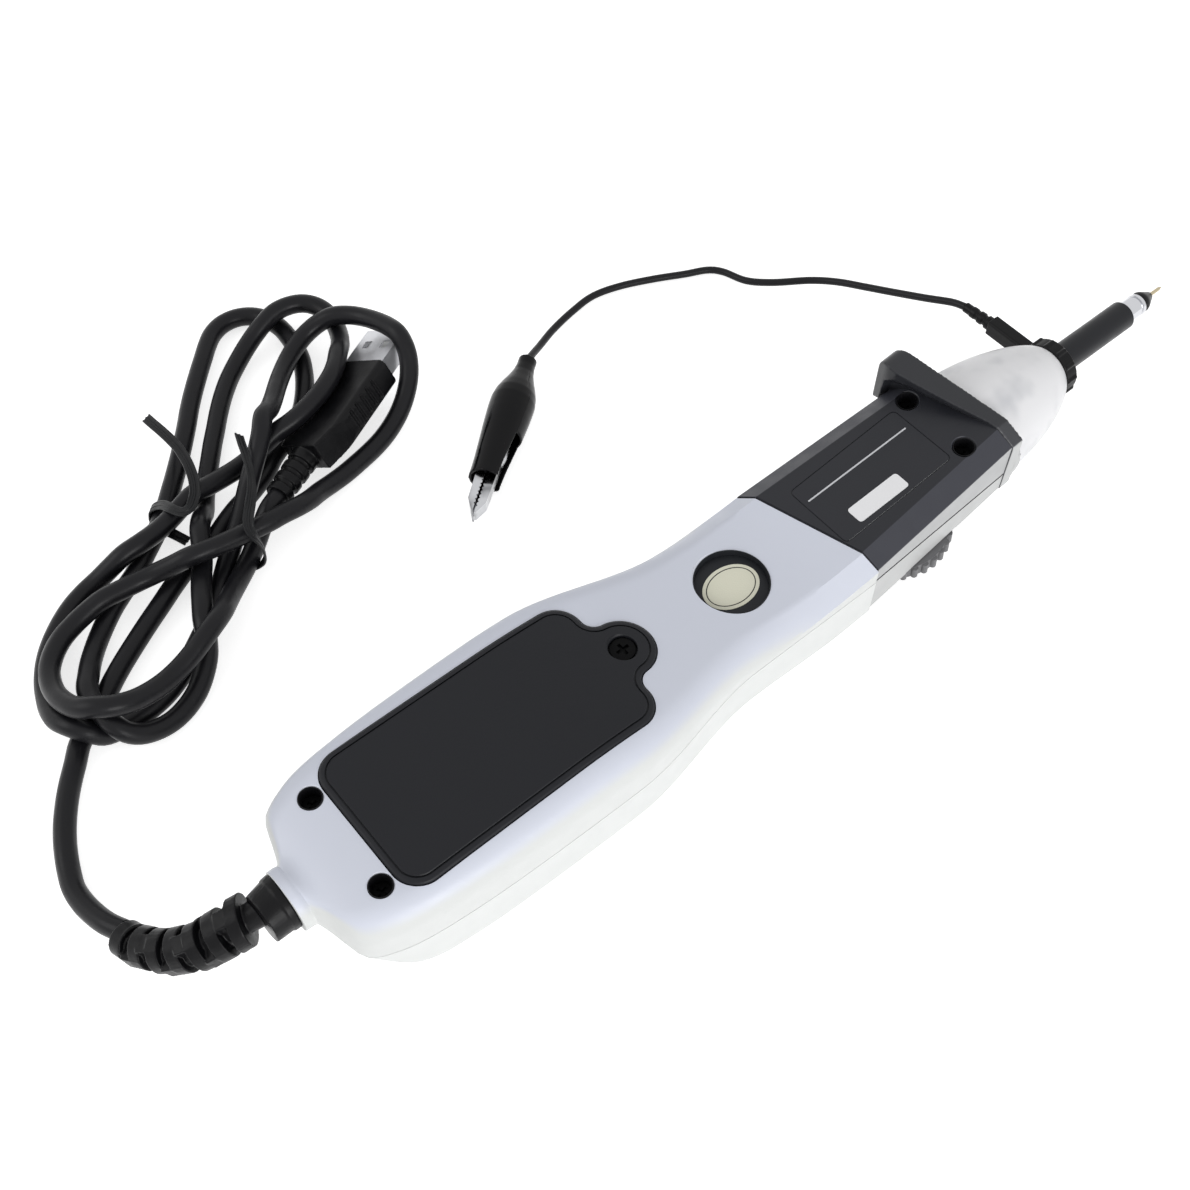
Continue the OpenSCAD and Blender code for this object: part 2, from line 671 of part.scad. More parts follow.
module back_cover() {
    place() color([0.15, 0.16, 0.18]) difference() {
        union() {
            intersection() {
                translate([0, 0, handle_h - cover_depth]) linear_extrude(handle_h) cover_outline(0);
                back_slab(-cover_t, cover_proud - 0.4);
            }
            intersection() {
                translate([0, 0, handle_h - cover_depth]) linear_extrude(handle_h) cover_outline(rim_w);
                back_slab(-cover_t, cover_proud);
            }
        }
        // thin groove between rim and field
        difference() {
            intersection() {
                translate([0, 0, handle_h - cover_depth]) linear_extrude(handle_h) cover_outline(rim_w);
                back_slab(cover_proud - 0.5, 9);
            }
            translate([0, 0, handle_h - 13]) linear_extrude(40) cover_outline(rim_w + 0.5);
        }
        translate([lug_x, 0, back_z(lug_x) - 1.4]) cylinder(d = 5.8, h = 9);
        translate([lug_x, 0, back_z(lug_x) - 9]) cylinder(d = screw_d + 2 * screw_gap, h = 12);
    }
}
module cover_screw() {
    place() color([0.10, 0.10, 0.11]) translate([lug_x, 0, back_z(lug_x) - 1.4]) difference() {
        union() {
            cylinder(d = 5, h = 1.3);
            translate([0, 0, -cover_t - 4]) cylinder(d = screw_d, h = cover_t + 5);
        }
        translate([0, 0, 1.3]) for (a = [0, 90]) rotate([0, 0, a]) cube([2.8, 0.7, 1.2], center = true);
    }
}
module recess_disc() {
    place() color([0.13, 0.14, 0.15])
        translate([recess_x, 0, back_z(recess_x) - recess_depth - 1]) cylinder(r = recess_r, h = 1);
}

// Cords: smooth lines through hand-chosen points, in millimetres from the origin
function spline(p, t) = let(i = min(len(p) - 2, floor(t)), u = t - i,
    b = p[i], c = p[i + 1],
    a = i > 0 ? p[i - 1] : 2 * b - c, d = i + 2 < len(p) ? p[i + 2] : 2 * c - b)
    0.5 * (2 * b + (c - a) * u + (2 * a - 5 * b + 4 * c - d) * u * u + (3 * b - a - 3 * c + d) * u * u * u);
function unit(v) = v / norm(v);
function heading(p, t) = let(e = 0.02, n = len(p) - 1)
    unit(spline(p, min(n, t + e)) - spline(p, max(0, t - e)));
function ring(p, t, r, sides) = let(
    c = spline(p, t), h = heading(p, t), s = unit(cross(h, [0, 0, 1])), u = cross(s, h))
    [for (k = [0:sides - 1]) c + r * (cos(360 * k / sides) * s + sin(360 * k / sides) * u)];
module cord(p, t0, t1, rings, d, sides) {
    loft([for (i = [0:rings]) ring(p, t0 + (t1 - t0) * i / rings, d / 2, sides)]);
}
// Stand children on the line at t, their +Z along it
module on_line(p, t) {
    h = heading(p, t);
    translate(spline(p, t)) rotate([0, acos(h[2]), atan2(h[1], h[0])]) children();
}

usb_route = [[-60, 0, outlet_z], [-69, 4, 18.5], [-77, 7, 15], [-83, 12, 11], [-87, 20, 7],
    [-88, 31, 4], [-86, 40, 2.5], [-82, 48, 2.5], [-76, 56, 2.5], [-69, 63, 2.5]];
relief_end = 4;

module strain_relief() {
    n = 7;
    color([0.10, 0.10, 0.11]) union() {
        // flange seated on the collar, and the neck in the collar's bore
        place() translate([0, 0, outlet_z]) rotate([0, -90, 0]) {
            cylinder(d = 12.6, h = 1.6);
            translate([0, 0, -5]) cylinder(d = collar_d - 4.6, h = 5.5);
            translate([0, 0, 1]) cylinder(d1 = 12.2, d2 = 11.4, h = 4.2);
        }
        // flexible core
        for (i = [0:7]) on_line(usb_route, 0.3 + (relief_end - 0.3) * i / 8)
            cylinder(d = usb_d + 1.6, h = 5.6 - (i > 6 ? 1.2 : 0), $fn = 24);
        // stepped segments with staggered gaps
        for (i = [0:n - 1]) let(t = 0.78 + (relief_end - 0.78 - 0.3) * i / (n - 1), d = 11.4 - 2.4 * i / (n - 1))
            on_line(usb_route, t) {
                cylinder(d = d, h = i == n - 1 ? 0.1 : 2.8, $fn = 32);
                if (i < n - 1) rotate([0, 0, i % 2 == 0 ? 0 : 90])
                    translate([-d / 2 + 0.3, -2, 0]) cube([d - 0.6, 4, 5.2]);
            }
        on_line(usb_route, relief_end) translate([0, 0, -3]) cylinder(d = 8.8, h = 3, $fn = 32);
    }
}
module usb_cord() { color([0.14, 0.14, 0.15]) cord(usb_route, relief_end, len(usb_route) - 1, 6, usb_d, 12); }

// The hank: the outer shape of the folded cord, with room for the plug that lies in it
hank_h = 13.5;
plug_at = [-6, 87.8];
plug_turn = 26;
plug_roll = 27;       // the plug lies rolled over on one edge
plug_r = 1.4;
plug_z = plug_w / 2 * sin(plug_roll) + plug_t / 2 * cos(plug_roll);
plug_back_w = 10.4;   // the grip narrows towards its cord
plug_taper = 9;
relief_l = 12;
relief_gap = 3.2;
module in_plug_plan() { translate([plug_at[0], plug_at[1], plug_z]) rotate([0, 0, plug_turn]) children(); }
module in_plug() { in_plug_plan() rotate([-plug_roll, 0, 0]) children(); }
plug_room = plug_w * cos(plug_roll) + plug_t * sin(plug_roll) + 1.2;
module usb_hank() {
    color([0.16, 0.16, 0.17]) difference() {
        linear_extrude(hank_h) hull() {
            translate([-55, 74]) circle(r = 19.5, $fn = 40);
            translate([13, 137]) circle(r = 12, $fn = 32);
            translate([24, 130]) circle(r = 14, $fn = 32);
            translate([31, 108]) circle(r = 17, $fn = 40);
            translate([-38, 66]) circle(r = 12, $fn = 32);
        }
        in_plug_plan() translate([0, -plug_room / 2, -hank_h])
            cube([relief_l + plug_l + usb_shell_l + 0.8, plug_room, 3 * hank_h]);
    }
}
module plug_section() {
    square([plug_w - 2 * plug_r, plug_t], center = true);
    square([plug_w, plug_t - 2 * plug_r], center = true);
    for (s = [-1, 1], t = [-1, 1])
        translate([s * (plug_w / 2 - plug_r), t * (plug_t / 2 - plug_r)]) circle(r = plug_r);
}
module usb_plug_body() {
    color([0.10, 0.10, 0.11]) in_plug() difference() {
        union() {
            rotate([0, 90, 0]) cylinder(d1 = 6, d2 = plug_t - 0.4, h = relief_l + 1);
            translate([relief_l, 0, 0]) intersection() {
                rotate([90, 0, 90]) linear_extrude(plug_l) plug_section();
                linear_extrude(2 * plug_t, center = true) polygon([
                    [0, -plug_back_w / 2], [plug_taper, -plug_w / 2], [plug_l, -plug_w / 2],
                    [plug_l, plug_w / 2], [plug_taper, plug_w / 2], [0, plug_back_w / 2]]);
            }
        }
        // grip grooves on both narrow sides and rings in the relief
        for (i = [0:4], s = [-1, 1]) translate([relief_l + plug_taper + 3 + 2.4 * i, s * (plug_w / 2 + 0.2), 0])
            cube([1.1, 1.6, plug_t - 1.8], center = true);
        for (i = [0:2]) translate([2 + relief_gap * i, 0, 0]) rotate([0, 90, 0]) difference() {
            cylinder(d = 9, h = 1.2);
            translate([0, 0, -1]) cylinder(d = 5.2, h = 4);
        }
    }
}
module usb_plug_shell() {
    color([0.82, 0.83, 0.85]) in_plug() translate([relief_l + plug_l, 0, 0]) difference() {
        translate([0, -usb_shell_w / 2, -usb_shell_t / 2]) cube([usb_shell_l, usb_shell_w, usb_shell_t]);
        translate([-1, -usb_shell_w / 2 + 0.3, -usb_shell_t / 2 + 0.3])
            cube([usb_shell_l + 2, usb_shell_w - 0.6, usb_shell_t - 0.6]);
        for (s = [-1, 1]) translate([usb_shell_l - 6.3, s * 2.85 - 1.1, -usb_shell_t])
            cube([2.4, 2.2, 2 * usb_shell_t]);
    }
}
module usb_plug_tongue() {
    color([0.93, 0.93, 0.93]) in_plug() translate([relief_l + plug_l, -usb_shell_w / 2 + 0.3, -usb_shell_t / 2 + 0.3])
        cube([usb_shell_l - 0.6, usb_shell_w - 0.6, 1.9]);
}

// Ground lead: ring on the probe, short relief, thin cord and spring clip
ring_x = nose_front;
arm_y = 17.3;
arm_w = ring_w;
arm_h = 3.9;
arm_x = ring_x + ring_w / 2;
arm_turn = 3;
lead_y0 = 25;
module ground_ring() {
    place() color([0.08, 0.08, 0.09]) difference() {
        union() {
            at_axis(ring_x) cylinder(d = ring_d, h = ring_w);
            translate([arm_x, 0, axis_z]) rotate([-90, 0, 0]) linear_extrude(arm_y)
                offset(r = 0.5, $fn = 24) square([arm_w - 1, arm_h - 1], center = true);
            // grip ribs round the ring, left out beside the arm
            for (i = [1:10]) translate([ring_x + 0.4, 0, axis_z]) rotate([i * 30 + 15, 0, 0])
                translate([0, ring_d / 2 - 0.15, 0]) along_x() cylinder(d = 1.2, h = ring_w - 0.8, $fn = 16);
        }
        at_axis(ring_x - 2) cylinder(d = sleeve_d + 0.1, h = ring_w + 6);
    }
}
module ground_relief() {
    place() color([0.09, 0.09, 0.10]) difference() {
        translate([arm_x, arm_y, axis_z]) rotate([-90, 0, arm_turn]) {
            translate([0, 0, -1]) cylinder(d = 2.4, h = lead_y0 - arm_y + 1);
            for (i = [0:2]) translate([0, 0, i * 2.2 - (i == 0 ? 0.5 : 0)])
                cylinder(d = 3.2 - 0.25 * i, h = i == 0 ? 1.8 : 1.3);
        }
        translate([arm_x - 10, arm_y - 10, axis_z - 5]) cube([20, 10, 10]);
    }
}
clip_at = [62, 85];
clip_turn = 217;
clip_z = boot_d / 2;
lead_start = [arm_x - rest_x - (lead_y0 - arm_y) * sin(arm_turn), arm_y + (lead_y0 - arm_y) * cos(arm_turn),
    axis_z];
lead_route = [lead_start, [142, 35, 13.2], [138, 49.5, 8.5], [132, 62, 4.4], [123, 73, 1.9], [112, 85, 1],
    [97, 93, 1], [84, 94, 1.2], [73, 91, 2.6], [clip_at[0], clip_at[1], clip_z]];
module ground_lead() { color([0.09, 0.09, 0.10]) cord(lead_route, 0, len(lead_route) - 1, 26, lead_d, 8); }

// Clip: +X points to its jaws, the jaws open sideways round an upright pin
pivot = 27;
jaw_open = 16;
module in_clip() { translate([clip_at[0], clip_at[1], clip_z]) rotate([0, 0, clip_turn]) children(); }
function boot_r(s) = let(u = s / boot_l)
    s < 2 ? 2.2 : u < 0.38 ? mix(2.2, boot_d / 2, ease((s - 2) / (0.38 * boot_l - 2)))
    : mix(boot_d / 2, 4.1, ease((u - 0.38) / 0.62));
module boot_form(d) {
    rotate([0, 90, 0]) rotate_extrude() polygon(concat([[0, d > 0 ? 5 : 0]],
        [for (i = [0:16]) let(s = boot_l * i / 16) if (d == 0 || s > 5) [max(0.6, boot_r(s) - d), s]],
        [[max(0.6, boot_r(boot_l) - d), boot_l + (d > 0 ? 1 : 0)], [0, boot_l + (d > 0 ? 1 : 0)]]));
}
module clip_boot() {
    color([0.06, 0.06, 0.07]) in_clip() difference() {
        boot_form(0);
        boot_form(0.7);
        // slit that lets the moving jaw swing out
        translate([pivot - 3, 0, -jaw_h / 2 - 0.5]) cube([boot_l, 20, jaw_h + 1]);
    }
}
// Side outline of a jaw with its handle, its toothed edge on y = 0
module jaw_outline() {
    tip = boot_l + jaw_l - pivot;
    difference() {
        polygon([[-pivot + 13, 3.4], [-8, 3.6], [-2, 2.6], [2, 2.6], [5, 2.2], [10, 2.2], [tip - 3, 2.0], [tip, 0.5],
            [tip, 0.12], [2.5, 0.12], [-2.5, 1.2], [-8, 2.6], [-pivot + 13, 2.5]]);
        for (x = [6:1.1:tip - 1]) translate([x, 0]) rotate([0, 0, 45]) square(0.62, center = true);
    }
}
module clip_jaw_fixed() {
    color([0.78, 0.79, 0.80]) in_clip() translate([pivot, 0, 0]) difference() {
        mirror([0, 1, 0]) jaw_half(jaw_h);
        cylinder(d = pin_d, h = 20, center = true);
    }
}
module clip_jaw_moving() {
    color([0.80, 0.81, 0.82]) in_clip() translate([pivot, 0, 0]) difference() {
        jaw_half(jaw_h - 2 * jaw_t - 0.3);
        cylinder(d = pin_d + 2 * pin_fit, h = 20, center = true);
    }
}
// One jaw as a folded channel of outer height h
module jaw_half(h) {
    difference() {
        union() {
            linear_extrude(h, center = true) jaw_outline();
            for (s = [-1, 1]) translate([0, 0, s * (h / 2 - jaw_t / 2)])
                cylinder(d = 3.4, h = jaw_t, center = true);
        }
        // hollow between the side walls, open towards the other jaw
        linear_extrude(h - 2 * jaw_t, center = true) difference() {
            translate([-pivot, -3]) square([2 * pivot, 3 + 4 - jaw_t]);
            translate([0, 0]) jaw_back();
        }
    }
}
// The folded back of a jaw: a band one sheet thick along its outer edge
module jaw_back() {
    tip = boot_l + jaw_l - pivot;
    polygon([[-pivot + 13, 3.4], [-8, 3.6], [-2, 2.6], [2, 2.6], [5, 2.2], [10, 2.2], [tip - 3, 2.0], [tip, 0.5],
        [tip, -1], [tip - 3.2, -1], [tip - 3.2, 1.9 - jaw_t], [10, 2.2 - jaw_t], [5, 2.2 - jaw_t],
        [2, 2.6 - jaw_t], [-2, 2.6 - jaw_t], [-8, 3.6 - jaw_t], [-pivot + 13, 3.4 - jaw_t]]);
}
module clip_pin() {
    color([0.70, 0.70, 0.72]) in_clip() translate([pivot, 0, 0])
        cylinder(d = pin_d, h = jaw_h + 0.6, center = true);
}
module clip_spring() {
    color([0.60, 0.60, 0.62]) in_clip() translate([pivot, 0, 0]) difference() {
        union() {
            cylinder(d = pin_d + 1.2, h = 1.2, center = true);
        }
        cylinder(d = pin_d, h = 5, center = true);
    }
}

rear_shell();
front_shell();
head_rear_shell();
head_front_shell();
finger_guard();
back_cover();
cover_screw();
shell_screws();
recess_disc();
label_plate();
nose_lens();
lamp_board();
probe_stem();
probe_sleeve();
probe_barrel();
probe_cone();
probe_needle();
main_board();
shield_can();
head_board();
wheel_encoder();
scroll_wheel();
key_switch();
front_key();
strain_relief();
usb_cord();
usb_hank();
usb_plug_body();
usb_plug_shell();
usb_plug_tongue();
ground_ring();
ground_relief();
ground_lead();
clip_boot();
clip_jaw_fixed();
clip_jaw_moving();
clip_pin();
clip_spring();
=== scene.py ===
import math
import bpy
import bmesh
import numpy as np
from mathutils import Matrix, Vector
from mathutils.geometry import delaunay_2d_cdt


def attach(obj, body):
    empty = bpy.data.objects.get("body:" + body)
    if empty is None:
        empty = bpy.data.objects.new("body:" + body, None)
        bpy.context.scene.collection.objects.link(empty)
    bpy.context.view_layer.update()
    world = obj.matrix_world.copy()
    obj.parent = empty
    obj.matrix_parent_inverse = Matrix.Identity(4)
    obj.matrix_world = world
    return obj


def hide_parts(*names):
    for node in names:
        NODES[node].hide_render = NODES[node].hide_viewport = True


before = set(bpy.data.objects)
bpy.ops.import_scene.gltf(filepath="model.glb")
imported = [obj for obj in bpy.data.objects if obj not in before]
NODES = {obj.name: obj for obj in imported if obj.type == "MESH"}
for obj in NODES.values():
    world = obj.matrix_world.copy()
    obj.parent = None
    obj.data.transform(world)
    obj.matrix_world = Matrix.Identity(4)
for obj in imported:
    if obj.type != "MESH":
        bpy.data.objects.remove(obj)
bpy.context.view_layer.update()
scene = bpy.context.scene
MM = Matrix.Scale(0.001, 4)

# camera
CAMERA_TURNS = (-39.5439748, 56.2780954, -0.166126)  # azimuth, elevation and roll, in degrees
CAMERA_PLACE = (-0.08472, -0.11733, 0.27904)
CAMERA_LENS, CAMERA_SENSOR = 46.886, 36

az, el, roll = (math.radians(a) for a in CAMERA_TURNS)
back = Vector((math.sin(az) * math.cos(el), -math.cos(az) * math.cos(el), math.sin(el)))
right = Vector((math.cos(az), math.sin(az), 0))
up = back.cross(right)
view_x = math.cos(roll) * right + math.sin(roll) * up
view_y = -math.sin(roll) * right + math.cos(roll) * up
cam = bpy.data.cameras.new("camera")
cam.lens, cam.sensor_width = CAMERA_LENS, CAMERA_SENSOR
cam.clip_start, cam.clip_end = 0.01, 20
cam_ob = bpy.data.objects.new("camera", cam)
scene.collection.objects.link(cam_ob)
cam_ob.matrix_world = (Matrix.Translation(CAMERA_PLACE)
                       @ Matrix((view_x, view_y, back)).transposed().to_4x4())
scene.camera = cam_ob


# materials
CLOUD_SCALE = 110      # of the clouds of a second colour
GLOSS_SCALE = 240      # of the patches of more and less gloss
GLOSS_RANGE = 0.06     # roughness added and taken away by them
COAT_ROUGH = 0.12
GRAIN_DEPTH = 0.0002


def lin(c):
    """The linear colour of 8-bit values."""
    return tuple((v / 255 / 12.92) if v <= 10.3 else ((v / 255 + 0.055) / 1.055) ** 2.4
                 for v in c) + (1,)


def maths(tree, operation, *terms):
    """The output of a Math node; each term is a number or a socket."""
    n = tree.nodes.new("ShaderNodeMath")
    n.operation = operation
    for socket, term in zip(n.inputs, terms):
        if isinstance(term, float):
            socket.default_value = term
        else:
            tree.links.new(term, socket)
    return n.outputs[0]


def surface(name, rgb, rough=0.4, vary=0.04, grain=900, bump=0.0, metal=0.0, spec=0.5,
            transmission=0.0, coat=0.0, second=None, side=(), steep=None, ior=1.5, blotch=60):
    """A plastic, rubber or metal with soft mottling, uneven gloss and fine grain, in object space.

    second: (colour, low, high), larger clouds of a second colour.
    side: such triples of painted reflection, lighter colours for faces that look outwards to either side,
    by how much they do.
    steep: such a triple of painted light for faces that don't look up.
    """
    m = bpy.data.materials.new(name)
    m.use_nodes = True
    t = m.node_tree
    bsdf = t.nodes["Principled BSDF"]
    bsdf.inputs["Metallic"].default_value = metal
    bsdf.inputs["Specular IOR Level"].default_value = spec
    bsdf.inputs["IOR"].default_value = ior
    bsdf.inputs["Transmission Weight"].default_value = transmission
    bsdf.inputs["Coat Weight"].default_value = coat
    bsdf.inputs["Coat Roughness"].default_value = COAT_ROUGH
    place = t.nodes.new("ShaderNodeTexCoord")

    def noise(scale, detail):
        n = t.nodes.new("ShaderNodeTexNoise")
        n.inputs["Scale"].default_value = scale
        n.inputs["Detail"].default_value = detail
        t.links.new(place.outputs["Object"], n.inputs["Vector"])
        return n.outputs["Fac"]

    def blend(fac, a, b):
        n = t.nodes.new("ShaderNodeMix")
        n.data_type = "RGBA"
        t.links.new(fac, n.inputs["Factor"])
        for key, c in (("A", a), ("B", b)):
            socket = [s for s in n.inputs if s.name == key and s.type == "RGBA"][0]
            if isinstance(c, tuple):
                socket.default_value = c
            else:
                t.links.new(c, socket)
        return [s for s in n.outputs if s.type == "RGBA"][0]

    def ramp(fac, low, high, a=0.0, b=1.0):
        n = t.nodes.new("ShaderNodeMapRange")
        n.interpolation_type = "SMOOTHSTEP"
        t.links.new(fac, n.inputs["Value"])
        for key, v in (("From Min", low), ("From Max", high), ("To Min", a), ("To Max", b)):
            n.inputs[key].default_value = v
        return n.outputs["Result"]

    def axis(source, letter):
        n = t.nodes.new("ShaderNodeSeparateXYZ")
        t.links.new(place.outputs[source], n.inputs[0])
        return n.outputs[letter]

    c = lin(rgb)
    dark = tuple(v * (1 - vary) for v in c[:3]) + (1,)
    light = tuple(min(1, v * (1 + vary)) for v in c[:3]) + (1,)
    colour = blend(noise(blotch, 3), dark, light)
    if second:
        rgb2, low, high = second
        colour = blend(ramp(noise(CLOUD_SCALE, 2), low, high), colour, lin(rgb2))
    # painted reflection: faces that look outwards to either side take lighter colours
    if side:
        outwards = maths(t, "MULTIPLY", axis("Normal", "Y"), maths(t, "SIGN", axis("Object", "Y")))
        for rgb2, low, high in side:
            colour = blend(ramp(outwards, low, high), colour, lin(rgb2))
    # painted light: faces that don't look up take another colour
    if steep:
        rgb2, low, high = steep
        tilt = maths(t, "SUBTRACT", 1.0, axis("Normal", "Z"))
        colour = blend(ramp(tilt, low, high), colour, lin(rgb2))
    t.links.new(colour, bsdf.inputs["Base Color"])
    gloss = ramp(noise(GLOSS_SCALE, 2), 0.3, 0.7, rough - GLOSS_RANGE, rough + GLOSS_RANGE)
    t.links.new(gloss, bsdf.inputs["Roughness"])
    if bump:
        b = t.nodes.new("ShaderNodeBump")
        b.inputs["Strength"].default_value = bump
        b.inputs["Distance"].default_value = GRAIN_DEPTH
        t.links.new(noise(grain, 2), b.inputs["Height"])
        t.links.new(b.outputs["Normal"], bsdf.inputs["Normal"])
    return m


# painted light: its faces that don't look up are lighter and more neutral than its top
WHITE = surface("white_plastic", (211, 215, 227), 0.4, 0.015, bump=0.04, grain=2500,
                steep=((216, 218, 217), 0.22, 0.6))
# painted light: a lighter, neutral copy of the white plastic for the lit sides of the front shell
WHITE_PAINTED_LIT = surface("white_plastic_painted_lit", (221, 223, 222), 0.4, 0.015, bump=0.04, grain=2500)
# painted reflection: lighter on the chamfers and light grey on the sides that look outwards
DARK = surface("dark_plastic", (36, 37, 42), 0.4, 0.06, bump=0.08, grain=2500, spec=0.3,
               side=(((58, 59, 66), 0.35, 0.55), ((178, 179, 180), 0.93, 0.99)))
# painted reflection: light grey on the sides that look outwards
DARK_FRONT = surface("dark_front_plastic", (38, 39, 44), 0.4, 0.06, bump=0.08, grain=2500,
                     spec=0.3, side=(((194, 195, 195), 0.8, 0.97),))
# painted reflection: lighter on faces that look partly outwards, light grey on those that look most so
GUARD = surface("guard_plastic", (38, 39, 43), 0.34, 0.06, bump=0.06, grain=2500, spec=0.4,
                side=(((66, 67, 71), 0.5, 0.75), ((190, 191, 191), 0.75, 0.92)))
COVER = surface("cover_plastic", (29, 30, 34), 0.45, 0.06, bump=0.15, grain=1800, spec=0.2)
BLACK = surface("black_plastic", (16, 16, 18), 0.36, 0.08, bump=0.05, spec=0.2)
# black screw, made darker still as painted shade of the deep well it stands for
SCREW = surface("black_screw_with_painted_shade", (7, 7, 8), 0.55, 0.1, bump=0.1, spec=0.08)
DISC = surface("recess_plastic", (30, 32, 36), 0.5, 0.05, bump=0.05, spec=0.25)
CREAM = surface("cream_paper", (226, 225, 206), 0.6, 0.03, grain=3500, bump=0.2, spec=0.3)
PAPER = surface("white_paper", (238, 238, 240), 0.6, 0.015, grain=3500, bump=0.1, spec=0.3)
INK = surface("black_ink", (28, 28, 30), 0.5, 0.05, spec=0.2)
PRINT = surface("white_print", (205, 206, 210), 0.5, 0.03, spec=0.3)
SLEEVE = surface("black_sleeve", (26, 27, 31), 0.34, 0.07, bump=0.05, grain=1500, spec=0.25)
# painted reflection: the black rubber wheel is given a mid grey for the light its ribs reflect
RUBBER = surface("wheel_rubber", (112, 112, 114), 0.5, 0.08, bump=0.2, grain=1400, spec=0.3)
KEY = surface("grey_key", (84, 86, 90), 0.45, 0.04, bump=0.05)
CORD = surface("cord_vinyl", (22, 22, 25), 0.36, 0.07, bump=0.1, grain=1600, spec=0.2)
RELIEF = surface("relief_rubber", (13, 13, 15), 0.34, 0.08, bump=0.12, grain=1600, spec=0.16)
BOOT = surface("glossy_vinyl", (8, 8, 10), 0.15, 0.08, bump=0.3, grain=240, coat=0.1, spec=0.1)
TIE = surface("tie_vinyl", (20, 21, 23), 0.4, 0.07, bump=0.1, spec=0.25)
PLATED = surface("plated_shell", (226, 227, 231), 0.34, 0.03, metal=0.8, bump=0.02)
# painted reflection: dark clouds on the polished jaws
STEEL = surface("bright_steel", (196, 197, 200), 0.16, 0.06, metal=1.0, bump=0.25, grain=420,
                second=((64, 64, 67), 0.42, 0.6))
CHROME = surface("bright_barrel_metal", (205, 206, 210), 0.14, 0.04, metal=1.0)
BRASS = surface("gilt_metal", (190, 178, 150), 0.25, 0.05, metal=1.0)
BOARD = surface("green_board", (38, 92, 56), 0.45, 0.15, bump=0.1)
CAN = surface("tinned_metal", (190, 192, 196), 0.3, 0.05, metal=1.0)
TONGUE = surface("white_plug_plastic", (232, 232, 230), 0.4, 0.02)
LENS = surface("frosted_plastic", (246, 246, 248), 0.35, 0.01, transmission=0.1, ior=1.45,
               blotch=30, second=((216, 217, 221), 0.45, 0.8))
LAMPS = surface("lamp_board_green", (120, 150, 130), 0.4, 0.15)


# sizes, in millimetres
BODY = Matrix.Translation((-60, 0, 0))          # x from the cord end
ROW = Matrix.Identity(4)                        # for what is placed in the row frame
HANDLE_L, HANDLE_H = 129.0, 28.0
NECK_W, NECK_H = 33.0, 21.5
HEAD_L, HEAD_H, HEAD_TIP_W = 41.8, 22.0, 28.6
TILT, SLANT = 7.0, 15.0                         # of the head and of the seam, in degrees
AXIS_Z = 16.0                                   # of the probe; the shells part there too
BACK_BEND, FRONT_BEND, BEND_L = 118.0, 120.0, 8.0  # where the faces turn into the head's tilt
SLOPE = math.tan(math.radians(TILT))
HEAD_Z0 = NECK_H + SLOPE * (HANDLE_L - BACK_BEND - BEND_L / 2) - HEAD_H
HEAD = (BODY @ Matrix.Translation((HANDLE_L, 0, HEAD_Z0))
        @ Matrix.Rotation(math.radians(-TILT), 4, "Y"))
NOSE_X = HANDLE_L + HEAD_L
GAP = 0.06                                      # half of each seam's opening
SEAM_N = Vector((1, math.tan(math.radians(SLANT)), 0)).normalized()
SHELL_SCREW, HEAD_SCREW = (14.8, 10.9), (39.4, 8.2)
WELL_R, WELL_FLARE = 2.4, 0.3
RECESS_X, RECESS_R = 107.8, 7.8


# mesh tools
def from_bmesh(bm, name):
    me = bpy.data.meshes.new(name)
    bm.normal_update()
    bm.to_mesh(me)
    bm.free()
    ob = bpy.data.objects.new(name, me)
    scene.collection.objects.link(ob)
    return ob


def bake(ob):
    """Applies the object's modifiers."""
    dg = bpy.context.evaluated_depsgraph_get()
    me = bpy.data.meshes.new_from_object(ob.evaluated_get(dg))
    ob.modifiers.clear()
    old = ob.data
    ob.data = me
    bpy.data.meshes.remove(old)
    return ob


def cut(ob, cutters):
    """Takes the cutters' forms out of a piece, and uses them up."""
    for c in cutters:
        m = ob.modifiers.new("cut", "BOOLEAN")
        m.operation, m.solver, m.object = "DIFFERENCE", "EXACT", c
    bake(ob)
    for c in cutters:
        bpy.data.objects.remove(c)


def weld(ob, dist=0.002):
    """Joins the doubled points that a cut leaves."""
    bm = bmesh.new()
    bm.from_mesh(ob.data)
    bmesh.ops.remove_doubles(bm, verts=bm.verts[:], dist=dist)
    bmesh.ops.dissolve_degenerate(bm, dist=dist / 2, edges=bm.edges[:])
    bm.to_mesh(ob.data)
    bm.free()
    return ob


def finish_piece(ob, material, body="root", place=BODY, angle=35, replaces=(), weighted=True):
    """Turns a piece made in millimetres into its final form in the row frame."""
    ob.data.transform(MM @ place)
    ob.data.materials.clear()
    ob.data.materials.append(material)
    ob.data.shade_smooth()
    if angle:
        ob.data.set_sharp_from_angle(angle=math.radians(angle))
    if weighted:
        m = ob.modifiers.new("normals", "WEIGHTED_NORMAL")
        m.keep_sharp = True
        m.weight = 60
    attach(ob, body)
    if replaces:
        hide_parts(*replaces)
    return ob


def skin(rows, closed_ends=True):
    """A bmesh through closed rows of points, each with the same number of points."""
    bm = bmesh.new()
    vs = [[bm.verts.new(p) for p in r] for r in rows]
    n = len(rows[0])
    for a, b in zip(vs, vs[1:]):
        for i in range(n):
            j = (i + 1) % n
            bm.faces.new((a[i], a[j], b[j], b[i]))
    if closed_ends:
        bm.faces.new(list(reversed(vs[0])))
        bm.faces.new(vs[-1])
    bmesh.ops.recalc_face_normals(bm, faces=bm.faces[:])
    return bm


